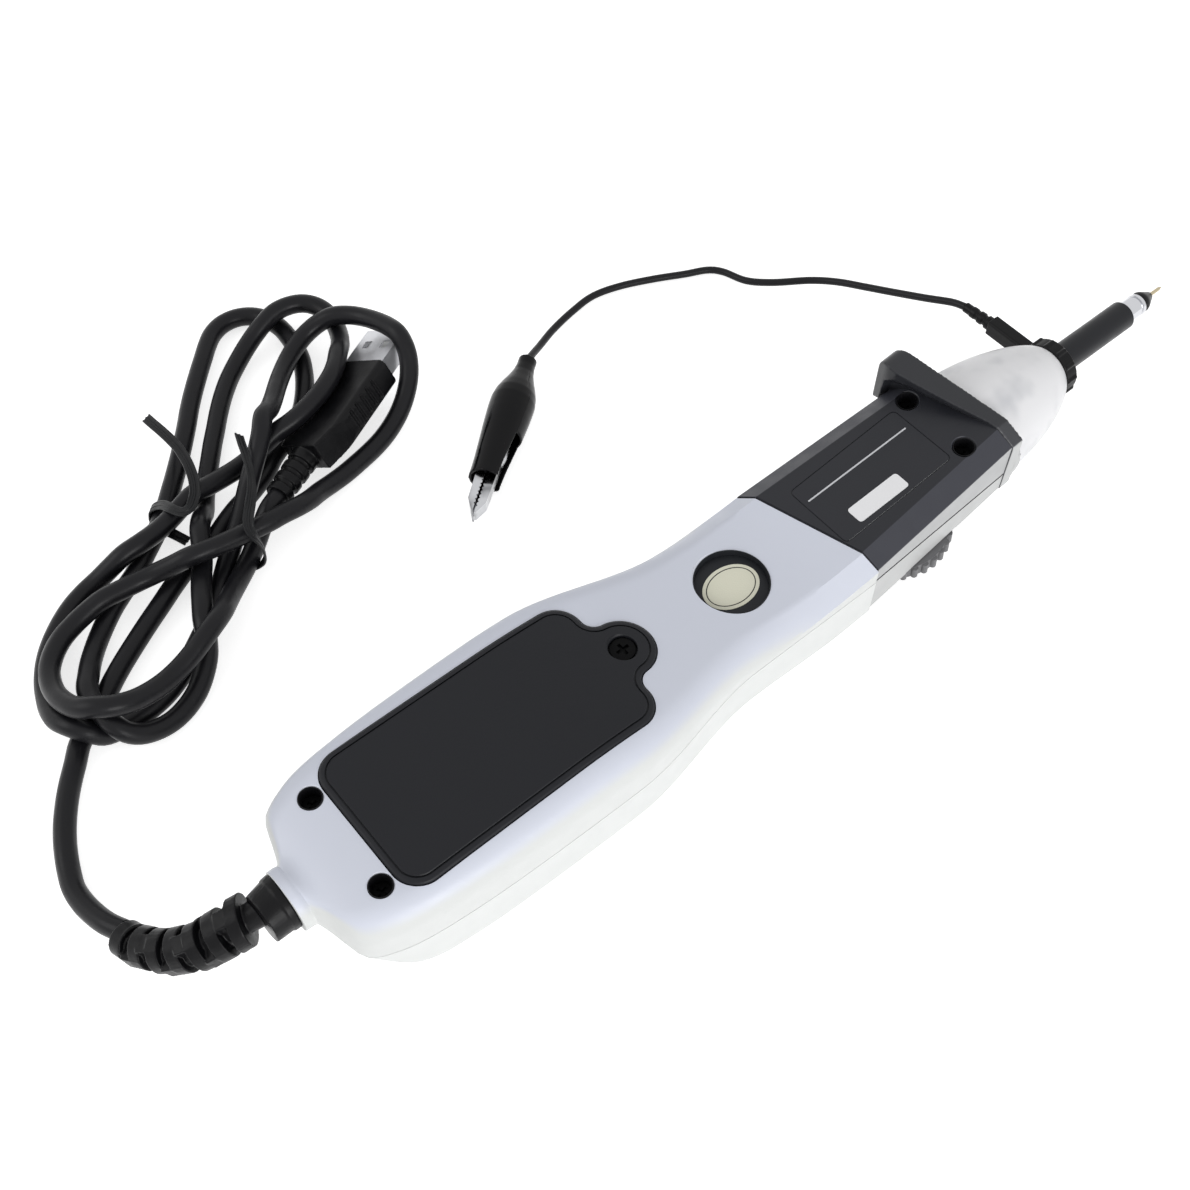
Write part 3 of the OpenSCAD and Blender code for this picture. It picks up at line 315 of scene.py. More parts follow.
def revolve(profile, n=64, axis="X", centre=(0, 0, 0)):
    """profile: (distance along the axis, radius). Radius 0 at an end closes it to a point."""
    c = Vector(centre)
    bm = bmesh.new()
    rings = []
    for s, r in profile:
        ring = []
        for k in range(1 if r < 1e-6 else n):
            a = 2 * math.pi * k / n
            u, v = r * math.cos(a), r * math.sin(a)
            p = {"X": (s, u, v), "Z": (u, v, s)}[axis]
            ring.append(bm.verts.new(c + Vector(p)))
        rings.append(ring)
    for a, b in zip(rings, rings[1:]):
        for k in range(n):
            f = []
            for v in (a[k % len(a)], a[(k + 1) % len(a)], b[(k + 1) % len(b)], b[k % len(b)]):
                if v not in f:
                    f.append(v)
            if len(f) > 2:
                bm.faces.new(f)
    for ring, flip in ((rings[0], True), (rings[-1], False)):
        if len(ring) > 1:
            bm.faces.new(list(reversed(ring)) if flip else ring)
    bmesh.ops.recalc_face_normals(bm, faces=bm.faces[:])
    return bm


def prism(outline, z0, z1):
    """An upright solid over an outline."""
    return skin([[(x, y, z0) for x, y in outline], [(x, y, z1) for x, y in outline]])


def drum(x, y, z0, z1, r, n, lip=0.0):
    """An upright cylinder to cut with, flared at the surface z1 by lip."""
    profile = [(z0, r), (z1, r)]
    if lip:
        profile = [(z0, r), (z1 - lip, r), (z1, r + lip), (z1 + 8, r + lip)]
    return revolve(profile, n, "Z", (x, y, 0))


def keep(bm, point, normal):
    """Keeps the part of a solid ahead of a plane, and closes it."""
    bmesh.ops.bisect_plane(bm, geom=bm.verts[:] + bm.edges[:] + bm.faces[:], dist=1e-4,
                           plane_co=point, plane_no=normal, clear_inner=True)
    rim = [e for e in bm.edges if e.is_boundary]
    bmesh.ops.holes_fill(bm, edges=rim, sides=0)
    return bm


def ease_rims(bm, tests, offset=0.22, segments=2):
    """Bevels the edges of the flat caps that look one of the ways in tests."""
    bm.normal_update()
    looks = [Vector(t).normalized() for t in tests]
    caps = [f for f in bm.faces
            if len(f.verts) > 12 and any(f.normal.dot(look) > 0.999 for look in looks)]
    edges = {e for f in caps for e in f.edges
             if len(e.link_faces) == 2 and e.calc_face_angle(0) > 0.3}
    bmesh.ops.bevel(bm, geom=list(edges), offset=offset, segments=segments, affect="EDGES",
                    clamp_overlap=True)


def moulded(node, name, voxel, smooth, ratio):
    """A soft-edged copy of a CAD node's form: rebuilt in fine cells, smoothed and thinned."""
    ob = bpy.data.objects.new(name, NODES[node].data.copy())
    scene.collection.objects.link(ob)
    ob.data.transform(BODY.inverted() @ Matrix.Scale(1000, 4))
    m = ob.modifiers.new("cells", "REMESH")
    m.mode, m.voxel_size, m.adaptivity = "VOXEL", voxel, 0.0
    m = ob.modifiers.new("smooth", "SMOOTH")
    m.factor, m.iterations = 0.5, smooth
    ob.modifiers.new("thin", "DECIMATE").ratio = ratio
    return bake(ob)


# cords first
def spline(points, step=1.0):
    """A smooth line through points, resampled at an even step."""
    p = np.array(points, float)
    p = np.vstack([2 * p[0] - p[1], p, 2 * p[-1] - p[-2]])
    out = []
    for i in range(1, len(p) - 2):
        a, b, c, d = p[i - 1:i + 3]
        for u in np.linspace(0, 1, 12, endpoint=False):
            out.append(0.5 * (2 * b + (c - a) * u + (2 * a - 5 * b + 4 * c - d) * u ** 2
                              + (3 * b - a - 3 * c + d) * u ** 3))
    out.append(p[-2])
    out = np.array(out)
    s = np.concatenate([[0], np.cumsum(np.linalg.norm(np.diff(out, axis=0), axis=1))])
    at = np.linspace(0, s[-1], max(2, int(round(s[-1] / step)) + 1))
    return np.column_stack([np.interp(at, s, out[:, k]) for k in range(3)])


def tube(path, radius, n=14):
    """A round tube with flat ends along a path."""
    path = np.array(path, float)
    tang = np.gradient(path, axis=0)
    tang /= np.linalg.norm(tang, axis=1)[:, None]
    side = np.cross(tang[0], (0, 0, 1))
    side /= np.linalg.norm(side)
    rows = []
    for p, t in zip(path, tang):
        side = side - t * side.dot(t)
        side /= np.linalg.norm(side)
        over = np.cross(side, t)
        rows.append([tuple(p + radius * (math.cos(a) * side + math.sin(a) * over))
                     for a in (2 * math.pi * k / n for k in range(n))])
    return skin(rows)


USB_D, LEAD_D = 4.5, 1.8
USB_REST = 2.3     # the middle line's height where the cord lies on the ground
USB_LINE = [       # every 4 mm along the folded cord, with a height where it doesn't rest
    (-83.5, 20.8, 7), (-85.1, 24.6, 5.9), (-86.1, 28.7, 4.6), (-86.6, 32.7, 3.5), (-86.5, 36.7, 2.7),
    (-85.5, 40.5), (-84.1, 44.2), (-82.4, 47.8), (-80.4, 51.2), (-78.1, 54.5), (-75.6, 57.6),
    (-72.9, 60.6), (-70.4, 63.5), (-67.1, 66), (-63.7, 68.2), (-60.4, 70.4), (-57.2, 72.7), (-53.8, 74.9),
    (-50.4, 76.9), (-46.9, 78.9), (-43.4, 80.8), (-39.8, 82.7), (-36.3, 84.6), (-32.7, 86.4),
    (-29.1, 88.1), (-25.4, 89.4), (-21.5, 90.4), (-17.9, 92.2), (-14.2, 93.9), (-10.4, 95.2), (-6.7, 96.7),
    (-3.1, 98.5), (0.1, 100.8), (3.7, 102.7), (7.3, 104.5), (10.7, 106.5), (13.7, 109.1), (16.3, 112.1),
    (18.6, 115.3), (20.6, 118.8), (22.2, 122.4), (23.2, 126.3), (23.8, 130.2), (23.9, 134.2), (23, 138.1),
    (20.9, 141.4), (17.6, 143.5), (13.7, 143.9), (10.1, 142.6), (7, 140.1), (4.2, 137.3), (1.4, 134.5),
    (-1.4, 131.6), (-4.1, 128.7), (-6.7, 125.7), (-9.2, 122.6), (-11.7, 119.6), (-14.3, 116.6),
    (-16.9, 113.7), (-19.6, 110.8), (-22.4, 107.9), (-25.1, 105.1), (-28, 102.3), (-31.1, 99.7),
    (-34.4, 97.3), (-37.7, 94.9), (-41, 92.6), (-44.5, 90.7), (-47.9, 88.7), (-51.1, 86.4),
    (-54.1, 83.9, 2.4), (-56.7, 81.1, 3.1), (-59.1, 78, 4.1), (-61.1, 74.7, 5.3), (-62.9, 71.3, 6.6),
    (-63.8, 67.5, 7.3), (-63.6, 63.8, 8.2), (-63.2, 60.2, 8), (-62, 57.8, 6.4), (-59.7, 56.5, 4.6),
    (-56.3, 56.1, 3.1), (-52.6, 56.4), (-48.8, 57.4), (-45.3, 59.1, 2.6), (-42.2, 61.3, 3.5),
    (-39.6, 63.7, 4.8), (-37.6, 66.7, 6.2), (-36, 70.2, 7), (-34.1, 73.7, 7.1), (-32.2, 77.3, 6.5),
    (-30.2, 80.8, 5.8), (-28, 84.2, 5.6), (-25.9, 87.5, 6.8), (-24, 91.1, 7), (-22, 94.4, 5.2),
    (-20, 97.3, 3), (-17.9, 100.8), (-15.5, 104.1), (-13, 107.2), (-10.5, 110.3), (-8, 113.4),
    (-5.4, 116.4), (-2.8, 119.5), (-0.1, 122.5), (2.8, 125.4), (5.9, 128.1), (9.3, 130.4, 2.6),
    (12.8, 132.2, 3.4), (16.4, 133.5, 4.6), (20, 134.2, 6.1), (23.8, 134.6, 7.2), (27.6, 134.2, 7.3),
    (30.8, 132.7, 7.1), (32.9, 129.9, 6.8), (33.7, 126.3, 6.3), (33, 122.5, 6), (31.5, 118.6, 6.7),
    (29.5, 115.1, 8), (27.1, 112, 9.7), (24.4, 108.7, 10.6), (21.4, 105.9, 11.3), (17.9, 103.7, 11.5),
    (14.2, 102.1, 11.4), (10.4, 101.1, 11), (6.5, 100.8, 10.3), (2.8, 101.2, 9.3), (-0.9, 101.3, 7.5),
    (-4.6, 101.1, 6.2), (-8.7, 100.8, 5.8), (-12.7, 100.4, 6.2), (-16.6, 99.9, 6.9), (-20.7, 99.5, 7.4),
    (-24.6, 98.6, 6.8), (-28.4, 97.5, 6.4), (-32.2, 96.4, 6.7), (-36.1, 95.6, 7.2), (-40.1, 95.7, 6.7),
    (-43.7, 95.9, 5), (-47.3, 96, 3.3), (-51.2, 95.6, 2.4), (-54.9, 94.2), (-58.3, 92.2), (-61.5, 89.8),
    (-64.4, 87.1), (-66.9, 84), (-68.9, 80.5, 2.4), (-70.2, 76.8, 3.1), (-71.1, 73.1, 4.3),
    (-71.2, 69.4, 5.7), (-70.1, 65.9, 6.9), (-68, 62.8, 6.4), (-65.5, 61.5, 3.9), (-61.9, 61.3, 2.7),
    (-58, 61.5), (-54, 61.9), (-50.2, 62.8), (-46.5, 64.4), (-43.1, 66.4), (-39.8, 68.7), (-36.5, 71),
    (-33.2, 73.3), (-30.1, 76.1), (-27.2, 79), (-24.3, 81.9, 2.4), (-21.2, 84.6, 3), (-18.1, 87, 4.1),
    (-15, 89.3, 5.4), (-12.1, 91.8, 6.6), (-9.2, 94.2, 7.9), (-6.4, 96.2, 9.6), (-3.7, 98, 11.5),
    (-0.9, 100.4, 13.1), (1.7, 103.6, 13.4), (4.5, 106.1, 11.6), (7, 108.9, 10.1), (9.5, 111.9, 8.9),
    (12.1, 114.9, 7.8), (14.9, 117.7, 7), (18, 120.2, 6.7), (21.4, 122.1, 7.1), (25, 123.2, 7.9),
    (28.7, 123, 9.3), (32.1, 121.6, 10.7), (35.1, 119.1, 11.1), (37.3, 115.9, 11.5), (38.6, 112.2, 12.3),
    (39.3, 108.4, 13.2), (39.5, 104.6, 13.6), (39.2, 101.7, 11.9), (38.2, 99.3, 9.7), (36.3, 97, 7.5),
    (33.6, 94.8, 5.6), (30.4, 92.8, 4.1), (26.8, 91.1, 3), (22.8, 89.6, 2.4), (18.7, 88.4), (14.6, 87.5),
    (10.4, 86.6, 2.5), (6.3, 85.7, 3.2), (2.4, 84.6, 4.4), (-1.1, 83, 6), (-4.8, 82, 7.5),
    (-8.5, 81.8, 8.3), (-11.9, 81.5, 8.9), (-15.3, 81.8, 9), (-19, 82.1, 9.2), (-22.9, 82.4, 9.6),
    (-26.8, 82.8, 10.1), (-30.7, 83.9, 9.8), (-34.1, 85.3, 8.4), (-37.7, 86.7, 7.2), (-41.5, 87.6, 6.7),
    (-45.5, 87.9, 6.9), (-49.5, 88, 7.2), (-53.4, 87.9, 6.5), (-57.3, 87.2, 6), (-61, 85.7, 6),
    (-64.2, 83.2, 6.3), (-66.7, 80, 6.8), (-68.1, 76.3, 7.7), (-68.6, 72.5, 8.9), (-68.3, 68.7, 10.5),
    (-67.2, 65.1, 12.1), (-64.8, 62.1, 13.5), (-61.4, 60, 13.1), (-57.7, 59.4, 11.8), (-54.1, 59.9, 10.3),
    (-50.4, 60.7, 9.3), (-46.7, 61.6, 9.1), (-43, 62.5, 9.7), (-39.3, 63.7, 10.5), (-35.7, 65.4, 10.5),
    (-32.5, 67.6, 9.4), (-30, 70.3, 7.6), (-27.4, 73, 5.9), (-24.6, 75.5, 4.6), (-21.6, 78, 3.6),
    (-18.6, 80.4, 3.1), (-15.6, 82.7, 3.4), (-12.6, 84.7, 4.6), (-9.6, 86, 6.7), (-6, 87.8, 6.7)]
usb_path = spline([(*q, USB_REST)[:3] for q in USB_LINE])
usb = from_bmesh(tube(usb_path, USB_D / 2), "usb_cord_line")
finish_piece(usb, CORD, place=ROW, angle=60, replaces=("usb_cord", "usb_hank"),
             weighted=False)

LEAD_LINE = [
    (144.85, 25.0, 16), (144.3, 28.4, 15.2), (142.3, 34.7, 13), (140.2, 42.5, 10.2),
    (138.1, 49.4, 8), (135.8, 56.1, 6), (132.4, 62.0, 4.2), (125.9, 68.3, 2.8),
    (122.0, 73.7, 1.8), (120.2, 80.1, 1.1), (117.6, 83.2, 1), (112.4, 85.7, 1),
    (105.3, 89.4, 1), (97.2, 92.9, 1), (89.9, 94.6, 1), (82.9, 93.8, 1.1), (75.3, 91.9, 1.4),
    (68.4, 88.7, 2.8), (62.9, 85.6, 4.9), (60.0, 83.5, 5.3)]
lead_path = spline(LEAD_LINE)
lead = from_bmesh(tube(lead_path, LEAD_D / 2, 12), "ground_lead_line")
finish_piece(lead, CORD, place=ROW, angle=60, replaces=("ground_lead",),
             weighted=False)


# housing
END_X, END_L = 3.5, 15.0              # where the cord end's rounding starts, and its length
WAIST_X, WAIST_L = 66.0, 34.0         # where the sides draw in to the neck
THIN_X, THIN_L = 55.0, 63.0           # where the back comes down to the neck
FRONT_Z = -0.5                        # of the underside, before it is cut flat at 0
OUTLET_Z = 20.6
BOSS_X, BOSS_Z, BOSS_R = 1.2, OUTLET_Z + 0.8, 6.3
COVE_L = 4.8                          # of the soft cove behind the boss
# the corners' widths and heights, at the handle and at the head
TOP_W, TOP_H, LOW = (5.5, 4.2), (5.5, 3.1), (7, 5)


def clamp01(t):
    return min(1.0, max(0.0, t))


def ease(t):
    """A smooth step from 0 to 1."""
    u = clamp01(t)
    return u * u * (3 - 2 * u)


def mix(a, b, t):
    return a + (b - a) * t


def climb(x, x1):
    """The rise of a face that turns into the head's tilt from x1."""
    d = x - x1
    if d <= 0:
        return 0
    return SLOPE * d * d / (2 * BEND_L) if d < BEND_L else SLOPE * (d - BEND_L / 2)


def end_t(x):
    """0 to 1 round the quarter circle of the cord end."""
    return math.sqrt(1 - (1 - clamp01((x - END_X) / END_L)) ** 2)


# half width, and rise of the underside, by place along the handle
PLAN = [(END_X, 6.8), (4.2, 11), (5, 13), (6.5, 15.2), (8.5, 16.7), (11, 17.8), (14, 18.8),
        (18.5, 19.7), (25, 20.4), (32, 20.9), (40, 21.2), (50, 21.4), (60, 21.5)]
RISE = [(END_X, 12.8), (5, 12.4), (6.5, 11.8), (8.5, 10.2), (11, 7.0), (14, 3.4), (18.5, 0.9),
        (25, 0.2), (32, 0)]


def along(table, x):
    """A smooth curve through a table of places."""
    xs = np.array([q[0] for q in table])
    ys = np.array([q[1] for q in table])
    if x <= xs[0] or x >= xs[-1]:
        return float(ys[0] if x <= xs[0] else ys[-1])
    slope = np.gradient(ys, xs)
    i = int(np.searchsorted(xs, x)) - 1
    h = xs[i + 1] - xs[i]
    t = (x - xs[i]) / h
    return float((2 * t ** 3 - 3 * t ** 2 + 1) * ys[i] + (t ** 3 - 2 * t ** 2 + t) * h * slope[i]
                 + (3 * t ** 2 - 2 * t ** 3) * ys[i + 1] + (t ** 3 - t ** 2) * h * slope[i + 1])


def side_y(x):
    """Half the handle's width."""
    return mix(along(PLAN, x), NECK_W / 2, ease((x - WAIST_X) / WAIST_L))


def back_z(x):
    """The height of the back."""
    return mix(HANDLE_H, NECK_H, ease((x - THIN_X) / THIN_L)) + climb(x, BACK_BEND)


def front_z(x):
    """The height of the underside."""
    return FRONT_Z + climb(x, FRONT_BEND)


def corner(w, h, rnd, n=9):
    """From a chamfer (rnd 0) to an elliptic corner (rnd 1)."""
    return [(mix(w * k / n, w * math.sin(math.pi * k / 2 / n), rnd),
             mix(-h * k / n, -h * (1 - math.cos(math.pi * k / 2 / n)), rnd)) for k in range(n + 1)]


def handle_section(x):
    """The closed outline across the handle at x."""
    c, y = ease((x - 88) / 37), side_y(x)
    zt, zb = back_z(x) - 4.2 * (1 - end_t(x)), front_z(x) + along(RISE, x)
    fit = min(1, (zt - zb - 0.6) / (TOP_H[0] + LOW[0]))  # low sections have smaller corners
    tw, th = min(y - 1, mix(*TOP_W, c)), fit * mix(*TOP_H, c)
    bw, bh = min(y - 1, mix(*LOW, c)), fit * mix(*LOW, c)
    top = [(y - tw + a, zt + b) for a, b in corner(tw, th, 1 - c)]
    low = [(y - bw + a, zb - b) for a, b in corner(bw, bh, 1 - c)][::-1]
    flat_t = [(f * (y - tw), zt) for f in (0.25, 0.5, 0.75, 0.93)]
    flat_b = [(f * (y - bw), zb) for f in (0.93, 0.75, 0.5, 0.25)]
    half = [(0, zt)] + flat_t + top + low + flat_b + [(0, zb)]
    to_boss = 1 - ease((x - BOSS_X - 1) / COVE_L) ** 1.2
    if to_boss > 0:  # the end closes round the cord's boss
        n = len(half) - 1
        turn = [math.atan2(z - BOSS_Z, max(y, 1e-4)) for y, z in half]
        turn[0], turn[-1] = math.pi / 2, -math.pi / 2
        even = [math.pi / 2 - math.pi * k / n for k in range(n + 1)]
        turn = [mix(u, v, 0.35) for u, v in zip(turn, even)]
        half = [(mix(p[0], BOSS_R * math.cos(u), to_boss),
                 mix(p[1], BOSS_Z + BOSS_R * math.sin(u), to_boss)) for p, u in zip(half, turn)]
    return [(x, a, b) for a, b in half] + [(x, -a, b) for a, b in half[-2:0:-1]]


def spaced(marks, step):
    """Places from mark to mark, no further apart than step."""
    out = []
    for a, b in zip(marks, marks[1:]):
        n = max(1, int(math.ceil((b - a) / step)))
        out += [a + (b - a) * k / n for k in range(n)]
    return out + [marks[-1]]


def handle_solid():
    """The whole handle, longer than its seam with the head."""
    places = [BOSS_X, BOSS_X + 0.12, 1.8, 2.3, 2.7, 3.1]
    places += [END_X + END_L * (1 - math.cos(math.radians(a))) for a in range(0, 90, 6)]
    places += spaced([END_X + END_L, HANDLE_L + 12], 2.2)
    rows = [handle_section(x) for x in places]
    rows[0] = [(BOSS_X, y * 0.975, BOSS_Z + (z - BOSS_Z) * 0.975) for x, y, z in rows[1]]
    return from_bmesh(skin(rows), "handle")


def part_of(ob, planes, name, rims):
    """The part of a solid ahead of all the planes, with its cut rims eased."""
    bm = bmesh.new()
    bm.from_mesh(ob.data)
    for point, normal in planes:
        keep(bm, point, normal)
    ease_rims(bm, rims)
    return from_bmesh(bm, name)


UP, DOWN = (0, 0, 1), (0, 0, -1)
handle = handle_solid()
behind_seam = ((HANDLE_L - GAP, 0, 0), -SEAM_N)
rear = part_of(handle, [((0, 0, AXIS_Z + GAP), UP), behind_seam], "shell_rear", [DOWN, SEAM_N])
front = part_of(handle, [((0, 0, AXIS_Z - GAP), DOWN), ((0, 0, 0), UP), behind_seam],
                "shell_front", [UP, SEAM_N])
bpy.data.objects.remove(handle)

# the back cover, with a lug for its screw
COVER_X, COVER_L, COVER_W, COVER_R, LUG_R = 17.6, 58.9, 32.2, 5.5, 6.6
TAPER = 0.3           # of the cover, on each side
NOTCH_R = 3.1         # between the cover and its lug
LUG_X = COVER_X + COVER_L + 2.5


def arc(cx, cy, r, a0, a1, n):
    """n + 1 points round a centre, from one angle to another, in degrees."""
    return [(cx + r * math.cos(math.radians(a0 + (a1 - a0) * k / n)),
             cy + r * math.sin(math.radians(a0 + (a1 - a0) * k / n))) for k in range(n + 1)]


def cover_line():
    """The outline of the back cover."""
    fx = COVER_X + COVER_L + NOTCH_R
    fy = math.sqrt((NOTCH_R + LUG_R) ** 2 - (fx - LUG_X) ** 2)
    turn = math.degrees(math.atan2(-fy, LUG_X - fx)) % 360
    end_w = COVER_W / 2 - COVER_R
    half = (arc(COVER_X + COVER_R, end_w, COVER_R, 180, 90, 14)
            + [(COVER_X + COVER_R + (COVER_L - 2 * COVER_R) * k / 16, COVER_W / 2 - TAPER * k / 16)
               for k in range(1, 16)]
            + arc(COVER_X + COVER_L - COVER_R, COVER_W / 2 - TAPER - COVER_R, COVER_R, 90, 0, 14)
            + arc(fx, fy, NOTCH_R, 180, turn, 12)
            + arc(LUG_X, 0, LUG_R, turn - 180, 0, 16)[1:])
    points = half + [(x, -y) for x, y in half[::-1][1:]]
    points += [(COVER_X, -y) for y in np.linspace(end_w, -end_w, 12)[1:-1]]
    return np.array(points)


def inset(line, d):
    """A closed line moved inwards by d along its normals."""
    t = np.roll(line, -1, 0) - np.roll(line, 1, 0)
    t /= np.linalg.norm(t, axis=1)[:, None]
    return line + d * np.column_stack([t[:, 1], -t[:, 0]])


OUTLINE = cover_line()
if inset(OUTLINE, 1)[:, 1].max() > OUTLINE[:, 1].max():
    OUTLINE = OUTLINE[::-1]
rear_wells = [from_bmesh(drum(SHELL_SCREW[0], side * SHELL_SCREW[1], 23.2, HANDLE_H + 0.02,
                              WELL_R, 40, WELL_FLARE), "well") for side in (-1, 1)]
pocket = from_bmesh(prism([tuple(p) for p in inset(OUTLINE, -0.2)], 22.4, 40), "pocket")
RECESS_Z = back_z(RECESS_X)
recess = drum(RECESS_X, 0, RECESS_Z - 2.4, RECESS_Z + 0.05, RECESS_R, 72, 0.35)
cut(rear, rear_wells + [pocket, from_bmesh(recess, "recess")])
finish_piece(weld(rear), WHITE, replaces=("rear_shell",))

# the room of the front key
KEY_X, KEY_L, KEY_W = 112.0, 13.0, 7.0


def slot_line(d, n=16):
    """The key's outline, moved outwards by d."""
    h, r = (KEY_L - KEY_W) / 2, KEY_W / 2 + d
    return arc(KEY_X + h, 0, r, -90, 90, n) + arc(KEY_X - h, 0, r, 90, 270, n)


narrow, wide = slot_line(0.35), slot_line(1.6)
key_room = skin([[(x, y, z) for x, y in line]
                 for line, z in ((narrow, 5.6), (narrow, 0.8), (wide, 0.1), (wide, -2))])
cut(front, [from_bmesh(key_room, "key_room")])
finish_piece(weld(front), WHITE_PAINTED_LIT, replaces=("front_shell",))


# head
HEAD_CHAMFER, HEAD_FOOT = (4.2, 3.1), 5.0


def rounded(poly, r, n=4):
    """A closed outline with its corners rounded."""
    out = []
    m = len(poly)
    for i in range(m):
        p, a, b = Vector(poly[i]), Vector(poly[i - 1]), Vector(poly[(i + 1) % m])
        ua, ub = (a - p).normalized(), (b - p).normalized()
        half = ua.angle(ub) / 2
        d = r / math.tan(half)
        for k in range(n + 1):
            u = k / n
            q = (p + ua * d) * (1 - u) ** 2 + p * (2 * u * (1 - u)) + (p + ub * d) * u ** 2
            out.append((q.x, q.y))
    return out


def head_side(x):
    """Half the head's width."""
    return mix(NECK_W, HEAD_TIP_W, x / HEAD_L) / 2


def head_section(x):
    """The closed outline across the head at x, in the head's own frame."""
    w = head_side(x)
    across, down = HEAD_CHAMFER
    right = [(w - across, HEAD_H), (w, HEAD_H - down), (w, HEAD_FOOT), (w - HEAD_FOOT, 0)]
    return [(x, y, z) for y, z in rounded(right + [(-y, z) for y, z in right[::-1]], 0.7)]


def to_head(v, point=True):
    """A place or direction of the body frame, in the head's own frame."""
    m = HEAD.inverted() @ BODY
    return (m @ Vector(v)) if point else (m.to_3x3() @ Vector(v)).normalized()


head = from_bmesh(skin([head_section(x) for x in spaced([-14, HEAD_L + 12], 5)]), "head")
seam_in = (to_head((HANDLE_L + GAP, 0, 0)), to_head(SEAM_N, False))
seam_out = (to_head((NOSE_X, 0, 0)), -to_head(SEAM_N, False))
up_n = to_head((0, 0, 1), False)
head_rear = part_of(head, [(to_head((0, 0, AXIS_Z + GAP)), up_n), seam_in, seam_out],
                    "head_rear", [-up_n, -seam_in[1]])
head_front = part_of(head, [(to_head((0, 0, AXIS_Z - GAP)), -up_n), seam_in, seam_out],
                     "head_front", [up_n, -seam_in[1]])
bpy.data.objects.remove(head)


def ring_prism(line, width, z0, z1):
    """A closed band of that width round a line."""
    inner = [tuple(p) for p in inset(np.array(line), width)]
    rows = [[(x, y, z0) for x, y in line], [(x, y, z1) for x, y in line],
            [(x, y, z1) for x, y in inner], [(x, y, z0) for x, y in inner]]
    bm = skin(rows + [rows[0]], closed_ends=False)
    bmesh.ops.remove_doubles(bm, verts=bm.verts[:], dist=1e-4)
    return bm


LABEL_X0, LABEL_X1, LABEL_Y = 5.4, 35.4, 8.3
label_line = rounded([(LABEL_X0, -LABEL_Y), (LABEL_X1, -LABEL_Y), (LABEL_X1, LABEL_Y),
                      (LABEL_X0, LABEL_Y)], 1.2, 5)
wells = [from_bmesh(drum(HEAD_SCREW[0], side * HEAD_SCREW[1], HEAD_H - 4.8, HEAD_H + 0.02,
                         WELL_R, 40, WELL_FLARE), "well") for side in (-1, 1)]
groove = from_bmesh(ring_prism(label_line, 0.22, HEAD_H - 0.18, HEAD_H + 1), "groove")
cut(head_rear, wells + [groove])
finish_piece(weld(head_rear), DARK, place=HEAD,
             replaces=("head_rear_shell", "label_plate"))

WHEEL_X, WHEEL_Z, WHEEL_R, WHEEL_T = 24.0, 1.5, 13.0, 3.6
WHEEL_OUT, WHEEL_GAP = 2.2, 0.4       # how far it stands out of the side, and its clearance
WHEEL_Y = -(head_side(WHEEL_X) + WHEEL_OUT) + WHEEL_R
wheel_room = from_bmesh(drum(WHEEL_X, WHEEL_Y, WHEEL_Z - WHEEL_GAP, WHEEL_Z + WHEEL_T + WHEEL_GAP,
                             WHEEL_R + WHEEL_GAP, 96), "wheel_room")
cut(head_front, [wheel_room])
finish_piece(weld(head_front), DARK_FRONT, place=HEAD, replaces=("head_front_shell",))

# a rule and a sticker on the label
rule_line = rounded([(6.6, 3.95), (34.1, 3.25), (34.1, 3.6), (6.6, 4.3)], 0.1, 2)
rule = from_bmesh(prism(rule_line, HEAD_H - 0.1, HEAD_H + 0.03), "label_rule")
finish_piece(rule, PRINT, place=HEAD)
sticker_line = rounded([(10.8, -6.9), (24.5, -7.2), (24.5, -3.1), (10.8, -2.8)], 0.8, 4)
sticker = from_bmesh(prism(sticker_line, HEAD_H - 0.1, HEAD_H + 0.08), "label_sticker")
finish_piece(sticker, PAPER, place=HEAD)

guard = moulded("finger_guard", "guard", 0.26, smooth=5, ratio=0.35)
finish_piece(guard, GUARD, angle=0, replaces=("finger_guard",), weighted=False)


# back cover
PROUD, RIM = 0.7, 1.15                # the cover's height over the back, and its rim's width
LUG_WELL_R, LUG_WELL_DEEP = 2.9, 1.4
COVER_PROFILE = [                     # (inwards from the outline, up from the back)
    (0.0, -2.2), (0.0, 0.0), (0.08, 0.2), (0.3, 0.42), (0.5, 0.5), (RIM - 0.1, 0.58), (RIM, 0.52),
    (RIM, 0.22), (RIM + 0.3, 0.22), (RIM + 0.3, 0.55), (RIM + 0.45, PROUD)]
GRID_STEP = 2.5                       # of the points that carry the cover's face


def cover_ring(d, h):
    """The cover's outline moved inwards by d, at height h over the curved back."""
    return [(x, y, back_z(x) + h) for x, y in inset(OUTLINE, d)]


def inside(p, poly):
    """Whether a point lies in a closed line."""
    c = False
    for a, b in zip(poly, poly[1:] + poly[:1]):
        if (a.y > p.y) != (b.y > p.y) and p.x < (b.x - a.x) * (p.y - a.y) / (b.y - a.y) + a.x:
            c = not c
    return c


def cap(bm, d, h):
    """The face that closes such a ring."""
    line = [Vector((x, y)) for x, y, z in cover_ring(d, h)]
    n = len(line)
    grid = (Vector((x, y)) for x in np.arange(19, 86, GRID_STEP)
            for y in np.arange(-15, 15.1, GRID_STEP))
    mid = [g for g in grid if inside(g, line) and min((g - q).length for q in line) > 1.0]
    ring = [(i, (i + 1) % n) for i in range(n)]
    flat = delaunay_2d_cdt(line + mid, ring, [], 1, 1e-5)
    made = [bm.verts.new((v.x, v.y, back_z(v.x) + h)) for v in flat[0]]
    for face in flat[2]:
        bm.faces.new([made[i] for i in face])


